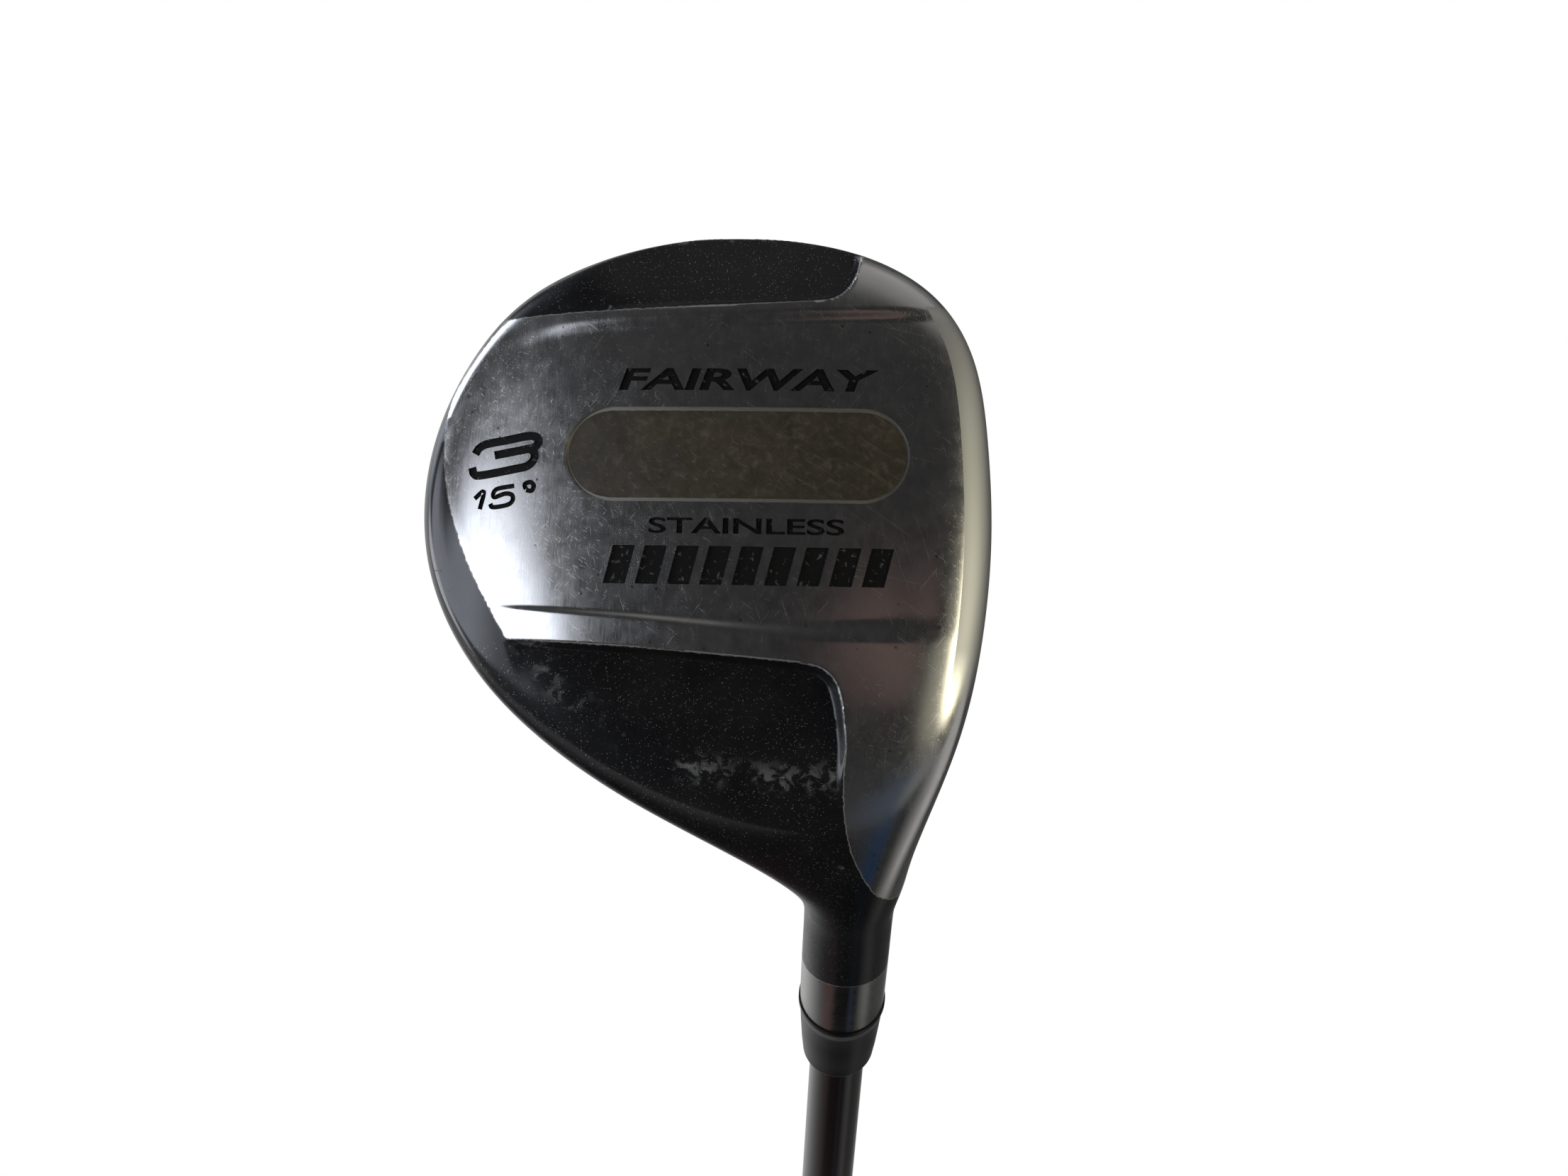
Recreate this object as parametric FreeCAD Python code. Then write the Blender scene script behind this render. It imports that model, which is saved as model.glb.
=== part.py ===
import FreeCAD, Part
import math
import os

# Fairway wood, right-handed, millimetres. The club frame has +Z along the shaft from the grip's
# butt face to the head, +X the way the face looks, and the sole facing -Y and up.
# The head is drawn in its own frame: x to the target, y to the toe, z down to the ground, with
# its origin where the shaft's axis meets the ground. Heights are measured up from the ground.

Vector = FreeCAD.Vector

# Whole club
club_length = 1092.0        # butt face to the ground, along the shaft
lie = 57.0                  # degrees
loft = 15.0                 # degrees

# Head: one row per station, toe to heel. Each holds its place, the trailing and leading edge,
# then the heights of the trailing edge, the sole, the crown and the top of the face.
head_stations = [
    (77.2, -22.1, -12.0, 15.0, 9.5, 21.0, 19.0),
    (76.2, -32.0, -2.6, 14.5, 6.0, 26.0, 24.0),
    (69.9, -47.4, 9.6, 13.5, 3.0, 31.5, 28.5),
    (60.0, -55.7, 15.8, 13.0, 1.3, 35.5, 32.0),
    (48.0, -61.1, 17.4, 13.0, 0.4, 38.0, 34.0),
    (36.0, -62.4, 18.2, 13.0, 0.0, 38.5, 34.5),
    (25.0, -60.3, 17.6, 13.0, 0.1, 38.0, 33.5),
    (14.0, -54.0, 16.0, 13.0, 0.8, 36.5, 32.0),
    (5.0, -44.6, 13.5, 13.0, 2.0, 34.5, 29.5),
]
# The neck turns about a point over the heel: here the place is an angle in degrees.
neck_stations = [
    (16.0, -33.5, 10.6, 13.5, 3.2, 32.0, 27.5),
    (32.0, -16.2, 8.2, 14.0, 4.8, 28.0, 24.0),
    (46.0, -8.6, 8.1, 14.0, 6.5, 23.5, 21.0),
    (57.0, -7.0, 6.8, 14.0, 7.25, 20.75, 18.0),
]
roundness = [0.6, 0.3, 0, 0, 0, 0, 0, 0, 0, 0.26, 0.51, 1.0, 1.0]  # of each row, toward an ellipse
toe_tip = (-19.0, 15.0)     # across, up
neck_pivot = (5.0, 40.0)    # y, up
sole_camber = 185.0         # radius, front to back
face_bulge = 280.0          # radius, heel to toe
face_roll = 280.0           # radius, top to bottom
face_centre = 36.0          # y of the middle of the face

# Walls of the hollow head
crown_wall = 0.8
sole_wall = 1.7
face_wall = 2.4
toe_wall = 3.5
pocket_wall = 1.2

# Hosel and shaft
hosel_diameter = 13.5
neck_waist = 0.1            # the hosel is this much slimmer at its foot, on the radius
hosel_end = 65.0            # from the ground, along the shaft
shaft_insertion = 38.0
shaft_tip_diameter = 8.9
shaft_butt_diameter = 15.2
shaft_tip_bore = 5.2
shaft_butt_wall = 1.1
parallel_butt = 250.0       # length of the untapered butt
glue_gap = 0.1
plug_hole_diameter = 6.0
plug_length = 5.0
plug_hole_foot = 12.0       # how far up the axis the plug's hole opens into the cavity
tip_weight_length = 24.0
tip_weight_head = 2.0

# Ferrule
ferrule_length = 21.0
ferrule_lip_diameter = 13.9
ferrule_lip_length = 1.2
ferrule_small_diameter = 11.6
ferrule_nose = 1.6

# Grip
grip_length = 267.0
cap_diameter = 28.4
cap_thickness = 4.5
vent_diameter = 3.0
grip_butt_diameter = 26.6
grip_mouth_diameter = 18.2
grip_tape_thickness = 0.25
tape_end_margin = 6.0

# Sole plate, face plate and the marks cut into them
badge_length = 47.6
badge_width = 13.2
badge_depth = 0.5
badge_centre = (-17.6, 45.2)
adhesive_thickness = 0.15
adhesive_margin = 0.4
panel_depth = 0.6
rim = 2.0                   # bare steel left between a pocket and the sole plate's seam
number_depth = 0.3
score_line_count = 7
score_line_pitch = 3.6
score_line_width = 0.8
score_line_depth = 0.35
score_line_first = 11.0     # height of the lowest one
score_line_ends = (17.0, 57.0)
glue_patch_radius = 7.0
glue_patch_height = 2.4
glue_patch_place = (-22.0, 30.0)

columns = 18
degree = 3


def section(place, back, front, back_height, sole, crown, face_top):
    """Control points of one cross-section as (across, up), from the sole's front round by the face."""
    chord = front - back
    face_height = face_top - sole
    crown_rise = crown - back_height
    low = front - 0.24 * chord
    slope = math.tan(math.radians(loft))
    widest = 20.3 - (place - face_centre) ** 2 / (2 * face_bulge)
    foot = min(widest, front + 0.6)

    def on_sole(share, lift=0.0):
        across = back + share * chord
        return across, sole + (across - low) ** 2 / (2 * sole_camber) + lift

    def on_face(share):
        up = sole + share * face_height
        return foot - (up - sole - 5.0) * slope - (up - 18.0) ** 2 / (2 * face_roll), up

    top_edge = on_face(1.0)[0] - 1.2
    return [
        on_sole(0.68),
        on_sole(0.84),
        on_sole(0.945, 0.2),
        (front + 0.9, sole + 0.085 * face_height + 0.8),
        on_face(0.27),
        on_face(0.50),
        on_face(0.75),
        (on_face(0.97)[0] + 0.3, on_face(0.97)[1]),
        (top_edge - 0.07 * chord, face_top + 0.8 * (crown - face_top)),
        (top_edge - 0.22 * chord, crown),
        (top_edge - 0.42 * chord, crown - 0.03 * crown_rise),
        (back + 0.34 * chord, back_height + 0.80 * crown_rise),
        (back + 0.13 * chord, back_height + 0.47 * crown_rise),
        (back - 0.005 * chord, back_height + 0.16 * crown_rise),
        (back - 0.005 * chord, back_height - 0.28 * (back_height - sole)),
        on_sole(0.045, 0.06 * (back_height - sole)),
        on_sole(0.20, -0.3),
        on_sole(0.44),
    ]


def ring(across, up, half_width, half_height):
    """Control points of an ellipse, in the same order as a section's."""
    reach = 3.0 / (2.0 + math.cos(2 * math.pi / columns))
    points = []
    for k in range(columns):
        a = math.radians(-85 + 360.0 * k / columns)
        points.append((across + reach * half_width * math.cos(a), up + reach * half_height * math.sin(a)))
    return points


def shrink(points, walls):
    """Moves each control point of a section inwards by its own wall."""
    moved = []
    for k in range(columns):
        x0, y0 = points[k - 1]
        x1, y1 = points[(k + 1) % columns]
        run = math.hypot(x1 - x0, y1 - y0)
        x, y = points[k]
        moved.append((x - walls[k] * (y1 - y0) / run, y + walls[k] * (x1 - x0) / run))
    return moved


def blended(index, station):
    """A station's section, rounded towards an ellipse by its roundness."""
    place, back, front, back_height, sole, crown, face_top = station
    across_place = place if index < len(head_stations) else face_centre
    share = roundness[index]
    plain = section(across_place, back, front, back_height, sole, crown, face_top)
    oval = ring((back + front) / 2, (sole + crown) / 2, (front - back) / 2, (crown - sole) / 2)
    return [((1 - share) * p[0] + share * q[0], (1 - share) * p[1] + share * q[1]) for p, q in zip(plain, oval)]


def turned(points, angle):
    """Puts a section on the plane that is turned about the neck's pivot."""
    a = math.radians(angle)
    placed = []
    for across, up in points:
        drop = neck_pivot[1] - up
        placed.append((across, neck_pivot[0] - drop * math.sin(a), neck_pivot[1] - drop * math.cos(a)))
    return placed


def on_axis(distance, across=0.0, off=0.0):
    """A point of the head frame at a distance up the shaft's axis, and off it towards the toe."""
    a = math.radians(lie)
    return across, -math.cos(a) * distance + math.sin(a) * off, math.sin(a) * distance + math.cos(a) * off


def spline_face(rows):
    """A smooth closed-round face through rows of control points (across, y, up)."""
    surface = Part.BSplineSurface()
    poles = [[Vector(x, y, -up) for x, y, up in row] for row in rows]
    spans = len(rows) - degree
    ends = [degree + 1] + [1] * (spans - 1) + [degree + 1]
    surface.buildFromPolesMultsKnots(
        poles, ends, [1] * (columns + 1), [float(k) for k in range(spans + 1)],
        [float(k) for k in range(columns + 1)], False, True, degree, degree)
    return surface.toShape()


def outer_head(inset=0.0):
    """The head's outer solid with its hosel, or the same moved inwards by an inset."""
    walls = [inset] * columns
    first = head_stations[0][0] - inset
    rows = [[(toe_tip[0], first, toe_tip[1])] * columns]
    for index, station in enumerate(head_stations):
        points = shrink(blended(index, station), walls)
        rows.append([(x, min(station[0], first), up) for x, up in points])
    for index, station in enumerate(neck_stations):
        points = shrink(blended(index + len(head_stations), station), walls)
        rows.append(turned(points, station[0]))
    for distance, waist in ((34.0, neck_waist), (40.0, neck_waist), (52.0, 0.0), (hosel_end, 0.0)):
        radius = hosel_diameter / 2 - waist - inset
        rows.append([on_axis(distance, x, up) for x, up in ring(0, 0, radius, radius)])
    face = spline_face(rows)
    deepest = -on_axis(hosel_end - hosel_diameter)[2]
    rim_edge = [edge for edge in face.Edges if edge.Length > 1.0 and edge.BoundBox.ZMax < deepest]
    return closed_solid([face, Part.Face(Part.Wire(rim_edge))])


def closed_solid(faces):
    """A solid from faces that close, with its skin facing outwards."""
    shell = Part.makeShell(faces)
    if len(faces) > 1:
        shell.sewShape()
    solid = Part.Solid(shell)
    if solid.Volume < 0:
        solid.reverse()
    return solid


def head_cavity():
    """The hollow inside the head, blunt at the toe and where the neck begins."""
    walls = [sole_wall] * 3 + [max(sole_wall, face_wall)] + [face_wall] * 3 + [face_wall]
    walls += [crown_wall] * 5 + [crown_wall] * 2 + [sole_wall] * 3
    first = head_stations[0][0] - toe_wall
    rows = []
    for index, station in enumerate(head_stations[2:] + neck_stations[:1]):
        points = shrink(blended(index + 2, station), walls)
        if index < len(head_stations) - 2:
            rows.append([(x, min(station[0], first), up) for x, up in points])
        else:
            rows.append(turned(points, station[0]))
    toe_end = blunt_end(rows[0], first)
    heel_points = shrink(blended(len(head_stations) + 1, neck_stations[1]), walls)
    heel_row = turned([toward(p, heel_points, 0.55) for p in heel_points], 0.8 * neck_stations[1][0])
    middle = centre_of(heel_row)
    return closed_solid([spline_face(toe_end + rows + [heel_row, [middle] * columns])])


def centre_of(row):
    """The mean of a row of points."""
    return tuple(sum(p[k] for p in row) / len(row) for k in range(len(row[0])))


def toward(point, row, share):
    """A point drawn towards the middle of its row, keeping the given share of its distance."""
    middle = centre_of(row)
    return tuple(m + share * (p - m) for p, m in zip(point, middle))


def blunt_end(row, place):
    """Rows that close the cavity at the toe with a flat-topped dome."""
    middle = centre_of(row)
    tip = (middle[0], place, middle[2])
    small = [(tip[0] + 0.45 * (x - tip[0]), place, tip[2] + 0.45 * (up - tip[2])) for x, y, up in row]
    return [[tip] * columns, small]


def flat(points):
    """Points (x, y) of the head frame, on the ground."""
    return [Vector(x, y, 0) for x, y in points]


def smooth_edge(points):
    curve = Part.BSplineCurve()
    curve.interpolate(flat(points))
    return curve.toShape()


def straight_edges(points):
    corners = flat(points)
    return [Part.makeLine(a, b) for a, b in zip(corners, corners[1:])]


def column_over(edges, low, high):
    """A solid over a closed outline of the head frame, between two heights."""
    face = Part.Face(Part.Wire(Part.sortEdges(edges)[0]))
    face.translate(Vector(0, 0, -low))
    return face.extrude(Vector(0, 0, low - high))


def side_column(points):
    """A solid with the given side view (across, up), running past the head's toe and heel."""
    corners = [Vector(x, -60, -up) for x, up in points]
    face = Part.Face(Part.makePolygon(corners + corners[:1]))
    return face.extrude(Vector(0, 160, 0))


def shaft_cylinder(radius, low, high):
    """A cylinder on the shaft's axis, in the head frame."""
    start, end = [Vector(x, y, -up) for x, y, up in (on_axis(low), on_axis(high))]
    return Part.makeCylinder(radius, high - low, start, end - start)


def facet(edges, points, lift=0.0):
    """What a flat-floored pocket takes away: its outline, up to the plane through three points."""
    a, b, c = [Vector(x, y, -up) for x, y, up in points]
    normal = (b - a).cross(c - a)
    if normal.z < 0:
        normal = -normal
    normal.normalize()
    slab = Part.makeBox(300, 300, 100, Vector(-150, -150, 0))
    slab.Placement = FreeCAD.Placement(a - normal * lift, FreeCAD.Rotation(Vector(0, 0, 1), normal))
    return column_over(edges, -20, 60).common(slab)


# Toe pocket: its rail side, and the flat floor that runs out at the toe
def toe_pocket(grow=0.0):
    rail = [(-54.0, 64.3 - grow), (-42.0, 65.0 - grow), (-20.5, 66.1 - grow), (-5.7, 67.1 - grow)]
    corner = [(-5.7, 67.1 - grow), (-2.6 + grow, 68.8), (-0.5 + grow, 74.0)]
    outside = [(-0.5 + grow, 74.0), (2.0 + grow, 90.0), (-70.0, 90.0), (-70.0, 64.3 - grow), rail[0]]
    edges = [smooth_edge(rail), smooth_edge(corner)] + straight_edges(outside)
    return facet(edges, [(-20.0, 66.0, 4.7), (-5.0, 66.0, 4.2), (-18.0, 76.5, 10.0)], grow)


# Heel pocket: its wall along the sole, and the flat floor that runs out at the ridge
heel_wall = [(-49.4, 19.4), (-33.4, 18.7), (-20.4, 17.8), (-7.8, 16.7)]
heel_corner = [(-7.8, 16.7), (-3.6, 15.0), (-2.0, 11.0)]
heel_side = [(-2.0, 11.0), (-1.6, 5.5), (-1.9, -0.5), (-1.0, -8.0), (1.5, -13.0)]


def grown(points, dx, dy):
    return [(x + dx, y + dy) for x, y in points]


def heel_pocket(grow=0.0):
    side = grown(heel_side, grow, 0.0)
    wall = grown(heel_wall, 0.0, grow)
    outside = [side[-1], (1.5, -40.0), (-70.0, -40.0), (-70.0, 19.4 + grow), wall[0]]
    corner = [wall[-1], (heel_corner[1][0] + 0.7 * grow, heel_corner[1][1] + 0.7 * grow), side[0]]
    edges = [smooth_edge(wall), smooth_edge(corner), smooth_edge(side)] + straight_edges(outside)
    return facet(edges, [(-46.5, 18.8, 6.5), (-28.8, 3.7, 4.7), (-4.3, 15.7, 4.2)], grow)


def sole_plate_room():
    """The space that the sole plate takes: its seam in plan, under a slanted roof."""
    trailing = [(-50.4, 62.4), (-56.8, 55.5), (-58.9, 49.9), (-58.6, 41.9), (-56.8, 34.3), (-53.5, 27.3)]
    trailing.append((-48.4, 21.4))
    heel = [trailing[-1]] + grown(heel_wall[1:], 0.3 * rim, rim) + [(-1.0, 16.2), (0.2, 11.0)]
    side = [heel[-1], (0.4, 5.5), (0.1, -3.0), (40.0, -3.0), (40.0, 66.5), (-5.7, 67.1 - rim)]
    toe = [side[-1], (-20.5, 66.1 - rim), (-42.0, 65.0 - rim), trailing[0]]
    edges = [smooth_edge(trailing), smooth_edge(heel), smooth_edge(toe)] + straight_edges(side)
    roof = side_column([(-80, -10), (-80, 17), (-40, 12.5), (6, 6), (13, 6), (40, 13.3), (40, -10)])
    return column_over(edges, -20, 60).common(roof)


def face_plane(edges, behind, ahead):
    """A solid square to the face over an outline drawn as (y, distance up the face)."""
    solid = Part.Face(Part.Wire(Part.sortEdges(edges)[0])).extrude(Vector(0, 0, ahead + behind))
    solid.translate(Vector(0, 0, -behind))
    across = math.radians(loft)
    turn = FreeCAD.Matrix(
        0, -math.sin(across), math.cos(across), head_stations[5][2],
        1, 0, 0, 0,
        0, -math.cos(across), -math.sin(across), -5.0,
        0, 0, 0, 1)
    return solid.transformGeometry(turn)


def face_plate_room():
    outline = [(8.0, -6.0), (8.5, 12.0), (12.0, 19.0), (22.0, 23.5), (34.0, 26.0), (47.0, 26.5), (58.0, 24.0)]
    outline += [(64.5, 18.0), (66.5, 9.0), (66.5, -6.0)]
    return face_plane([smooth_edge(outline)] + straight_edges([outline[-1], outline[0]]), 7.0, 8.0)


def stadium(centre, length, width):
    """A slot outline with round ends, in plan."""
    x, y = centre
    r = width / 2
    half = length / 2 - r
    ends = []
    for side in (1, -1):
        low, high = Vector(x + side * half, y - side * r, 0), Vector(x + side * half, y + side * r, 0)
        ends.append(Part.Arc(low, Vector(x + side * (half + r), y, 0), high).toShape())
        ends.append(Part.makeLine(high, Vector(x - side * half, y + side * r, 0)))
    return ends


def bar(start, end, width):
    """A straight engraved stroke, in plan."""
    run = Vector(end[0] - start[0], end[1] - start[1], 0)
    length = run.Length
    stroke = Part.makeBox(length + width, width, 100, Vector(-width / 2, -width / 2, -80))
    turn = math.degrees(math.atan2(run.y, run.x))
    stroke.Placement = FreeCAD.Placement(Vector(start[0], start[1], 0), FreeCAD.Rotation(Vector(0, 0, 1), turn))
    return stroke


def bow(centre, radius, start, sweep, width):
    """A round engraved stroke, in plan."""
    foot = Vector(centre[0], centre[1], -80)
    outer = Part.makeCylinder(radius + width / 2, 100, foot, Vector(0, 0, 1), sweep)
    inner = Part.makeCylinder(radius - width / 2, 100, foot, Vector(0, 0, 1))
    stroke = outer.cut(inner)
    stroke.rotate(Vector(centre[0], centre[1], 0), Vector(0, 0, 1), start)
    return stroke


def engraved_numbers():
    """The club's number over its loft in degrees, as strokes that are cut into the sole."""
    wide = 1.7
    thin = 0.95
    strokes = [bow((-50.2, 47.2), 2.0, -95, 235, wide), bow((-50.2, 43.6), 2.4, -150, 240, wide)]
    strokes += [bar((-53.2, 39.0), (-53.2, 35.2), thin), bar((-54.2, 38.2), (-53.2, 39.0), thin)]
    strokes += [bow((-49.6, 36.6), 1.3, -140, 275, thin), bar((-50.6, 39.0), (-48.4, 39.2), thin)]
    strokes += [bar((-50.6, 39.0), (-50.7, 37.4), thin), bow((-46.4, 39.2), 0.7, 0, 360, 0.5)]
    return strokes


def score_lines():
    """Thin slabs square to the face, one for each groove."""
    lines = []
    for k in range(score_line_count):
        up = (score_line_first - 6.0) + k * score_line_pitch
        half = score_line_width / 2
        heel, toe = score_line_ends
        corners = [(heel, up - half), (toe, up - half), (toe, up + half), (heel, up + half)]
        lines.append(face_plane(straight_edges(corners + corners[:1]), 6.0, 8.0))
    return lines


def to_club(shape):
    """Moves a solid from the head frame to the club frame."""
    moved = shape.copy()
    turn = FreeCAD.Rotation(Vector(1, 0, 0), 90.0 - lie)
    moved.Placement = FreeCAD.Placement(Vector(0, 0, club_length), turn).multiply(moved.Placement)
    return moved


def turned_part(profile):
    """A solid of revolution about the shaft's axis from (radius, z) points in the club frame."""
    corners = [Vector(radius, 0, z) for radius, z in profile]
    face = Part.Face(Part.makePolygon(corners + corners[:1]))
    return face.revolve(Vector(0, 0, 0), Vector(0, 0, 1), 360)


# Places along the shaft, from the grip's butt face
tip_z = club_length - hosel_end + shaft_insertion
hosel_face_z = club_length - hosel_end
butt_z = cap_thickness
bore_bottom = hosel_end - shaft_insertion
bore_radius = shaft_tip_diameter / 2 + glue_gap


def shaft_radius(z):
    """The shaft's outer radius: a straight butt, a long taper, and a straight tip in the hosel."""
    if z <= parallel_butt:
        return shaft_butt_diameter / 2
    if z >= hosel_face_z:
        return shaft_tip_diameter / 2
    share = (z - parallel_butt) / (hosel_face_z - parallel_butt)
    return shaft_butt_diameter / 2 + share * (shaft_tip_diameter - shaft_butt_diameter) / 2


def shaft_profile(low, high, radius_at):
    """(radius, z) corners of the shaft between two places, for any radius that follows its taper."""
    places = [low] + [z for z in (parallel_butt, hosel_face_z) if low < z < high] + [high]
    return [(radius_at(z), z) for z in places]


def sleeve(low, high, inner_at, outer_at):
    """A tube between two radii that follow the shaft's taper."""
    return turned_part(shaft_profile(low, high, inner_at) + shaft_profile(low, high, outer_at)[::-1])


def largest(shape):
    """The biggest solid of a cut, without the slivers that a seam can leave."""
    return max(shape.Solids, key=lambda solid: solid.Volume)


def build_head():
    """The three steel pieces of the hollow head, in the head frame."""
    outer = outer_head()
    cavity = head_cavity().cut(toe_pocket(pocket_wall)).cut(heel_pocket(pocket_wall))
    shell = outer.cut(cavity).cut(toe_pocket()).cut(heel_pocket())
    shell = shell.cut(shaft_cylinder(bore_radius, bore_bottom, hosel_end + 10))
    shell = shell.cut(shaft_cylinder(plug_hole_diameter / 2, plug_hole_foot, bore_bottom + 1))
    sole = largest(shell.common(sole_plate_room()))
    rest = shell.cut(sole)
    face = largest(rest.common(face_plate_room()))
    return cavity, sole, face, rest.cut(face)


def sole_marks(sole):
    """Sinks the middle panel, the badge's seat and the engraved numbers into the sole plate."""
    toe_rail = [(-56.0, 58.4), (-50.9, 59.4), (-41.8, 62.0), (-22.7, 63.0), (6.6, 62.6)]
    heel_rail = [(9.5, 23.4), (-7.1, 22.1), (-20.1, 22.4), (-31.9, 23.3), (-52.0, 24.4)]
    closing = [[toe_rail[-1], (13.5, 43.0), heel_rail[0]], [heel_rail[-1], (-56.4, 41.0), toe_rail[0]]]
    edges = [smooth_edge(points) for points in (toe_rail, closing[0], heel_rail, closing[1])]
    panel = column_over(edges, -20, 17).cut(outer_head(panel_depth))
    seat_room = column_over(stadium(badge_centre, badge_length, badge_width), -20, 17)
    seat_depth = panel_depth + badge_depth
    seat = seat_room.cut(outer_head(seat_depth))
    sole = sole.cut(panel).cut(seat)
    below = outer_head(panel_depth + number_depth)
    for stroke in engraved_numbers():
        sole = sole.cut(stroke.cut(below))
    inside = (badge_length - 2 * adhesive_margin, badge_width - 2 * adhesive_margin)
    film_room = column_over(stadium(badge_centre, inside[0], inside[1]), -20, 17)
    film = outer_head(seat_depth - adhesive_thickness).cut(outer_head(seat_depth)).common(film_room)
    return sole, film


def face_marks(face):
    """Cuts the score lines into the face plate."""
    below = outer_head(score_line_depth)
    for line in score_lines():
        face = face.cut(line.cut(below))
    return face


def glue_patch(cavity):
    """A puddle of hot melt on the inside of the sole, where it catches loose weld beads."""
    x, y = glue_patch_place
    tall = Part.makeCylinder(glue_patch_radius, 20, Vector(x, y, -15))
    puddle = tall.common(cavity)
    level = puddle.BoundBox.ZMax - glue_patch_height
    return puddle.common(Part.makeBox(60, 60, 40, Vector(x - 30, y - 30, level)))


def ferrule():
    """The turned plastic collar: a lip at the hosel, a taper and a rounded nose."""
    lip = ferrule_lip_diameter / 2
    small = ferrule_small_diameter / 2
    end = hosel_face_z - ferrule_length
    profile = [(shaft_radius(hosel_face_z), hosel_face_z), (lip, hosel_face_z)]
    profile += [(lip, hosel_face_z - ferrule_lip_length), (small, end + ferrule_nose)]
    for k in range(1, 7):
        a = math.radians(15 * k)
        profile.append((small - ferrule_nose * (1 - math.cos(a)) * 0.7, end + ferrule_nose * (1 - math.sin(a))))
    profile.append((shaft_radius(end), end))
    return turned_part(profile)


def grip():
    """The rubber sleeve: a long taper with a rounded mouth, over the tape."""
    def inside(z):
        return shaft_radius(z) + grip_tape_thickness

    mouth = grip_mouth_diameter / 2
    butt = grip_butt_diameter / 2
    profile = [(inside(butt_z), butt_z), (butt, butt_z), (butt - 0.9, butt_z + 22.0)]
    profile += [(mouth, grip_length - 1.5), (mouth - 0.4, grip_length - 0.4), (mouth - 0.8, grip_length)]
    profile += shaft_profile(butt_z, grip_length, inside)[:0:-1]
    return turned_part(profile)


def grip_cap():
    """The hard cap on the butt, with its round edge and the vent hole."""
    edge = 1.4
    rim_radius = cap_diameter / 2
    profile = [(vent_diameter / 2, 0.0), (rim_radius - edge, 0.0)]
    for k in range(1, 7):
        a = math.radians(15 * k)
        profile.append((rim_radius - edge + edge * math.sin(a), edge - edge * math.cos(a)))
    profile += [(rim_radius, cap_thickness - 0.8), (rim_radius - 0.8, cap_thickness)]
    profile.append((vent_diameter / 2, cap_thickness))
    return turned_part(profile)


def bore_at(z):
    """The shaft's inner radius: a wall at the butt, down to the bore of the tip."""
    butt_bore = shaft_butt_diameter / 2 - shaft_butt_wall
    if z <= parallel_butt:
        return butt_bore
    if z >= hosel_face_z:
        return shaft_tip_bore / 2
    share = (z - parallel_butt) / (hosel_face_z - parallel_butt)
    return butt_bore + share * (shaft_tip_bore / 2 - butt_bore)


def tip_weight():
    """A turned pin pressed into the shaft's tip, with a head between its end and the plug."""
    pin = shaft_tip_bore / 2
    head = shaft_tip_diameter / 2
    seat = tip_z - tip_weight_head
    return turned_part([(0, seat - tip_weight_length), (pin, seat - tip_weight_length), (pin, seat),
                        (head, seat), (head, tip_z), (0, tip_z)])


def save(name, shape):
    """Writes one node, as its solids alone."""
    solids = shape.Solids
    kept = solids[0] if len(solids) == 1 else Part.makeCompound(solids)
    kept.exportStep("parts/" + name + ".step")
    volumes = [round(solid.Volume, 1) for solid in solids]
    print(name, volumes, "mm3" if kept.isValid() else "NOT VALID")


os.makedirs("parts", exist_ok=True)

cavity, sole, face, body = build_head()
sole, film = sole_marks(sole)
save("body_casting", to_club(body))
save("sole_plate", to_club(sole))
save("face_plate", to_club(face_marks(face)))
save("badge_adhesive", to_club(film))
save("hot_melt_patch", to_club(glue_patch(cavity)))
plug = shaft_cylinder(plug_hole_diameter / 2, bore_bottom - plug_length, bore_bottom)
save("hosel_plug", to_club(plug))

save("shaft", sleeve(butt_z, tip_z - tip_weight_head, bore_at, shaft_radius))
save("tip_weight", tip_weight())
save("shaft_epoxy", sleeve(hosel_face_z, tip_z, shaft_radius, lambda z: bore_radius))
save("ferrule", ferrule())
save("grip_tape", sleeve(butt_z + tape_end_margin, grip_length - tape_end_margin, shaft_radius,
                         lambda z: shaft_radius(z) + grip_tape_thickness))
save("grip", grip())
save("grip_cap", grip_cap())
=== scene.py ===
import math
import bmesh
import bpy
import numpy as np
from mathutils import Matrix, Vector
from mathutils.bvhtree import BVHTree


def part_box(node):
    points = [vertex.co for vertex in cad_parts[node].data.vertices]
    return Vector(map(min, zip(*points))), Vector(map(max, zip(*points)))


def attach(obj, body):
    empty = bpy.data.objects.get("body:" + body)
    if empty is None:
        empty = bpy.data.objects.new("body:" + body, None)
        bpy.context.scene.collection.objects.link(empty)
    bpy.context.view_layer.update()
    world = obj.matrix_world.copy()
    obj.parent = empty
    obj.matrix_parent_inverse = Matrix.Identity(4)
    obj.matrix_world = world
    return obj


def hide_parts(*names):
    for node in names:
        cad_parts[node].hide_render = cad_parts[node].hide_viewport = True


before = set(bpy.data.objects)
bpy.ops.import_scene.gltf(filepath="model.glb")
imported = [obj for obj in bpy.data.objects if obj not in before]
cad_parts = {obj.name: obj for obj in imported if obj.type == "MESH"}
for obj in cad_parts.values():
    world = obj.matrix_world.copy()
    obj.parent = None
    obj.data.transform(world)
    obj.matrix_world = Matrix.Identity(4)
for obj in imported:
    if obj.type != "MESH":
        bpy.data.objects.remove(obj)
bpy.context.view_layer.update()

mm = 0.001
scene = bpy.context.scene
scene.view_settings.view_transform = "Standard"

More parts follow.
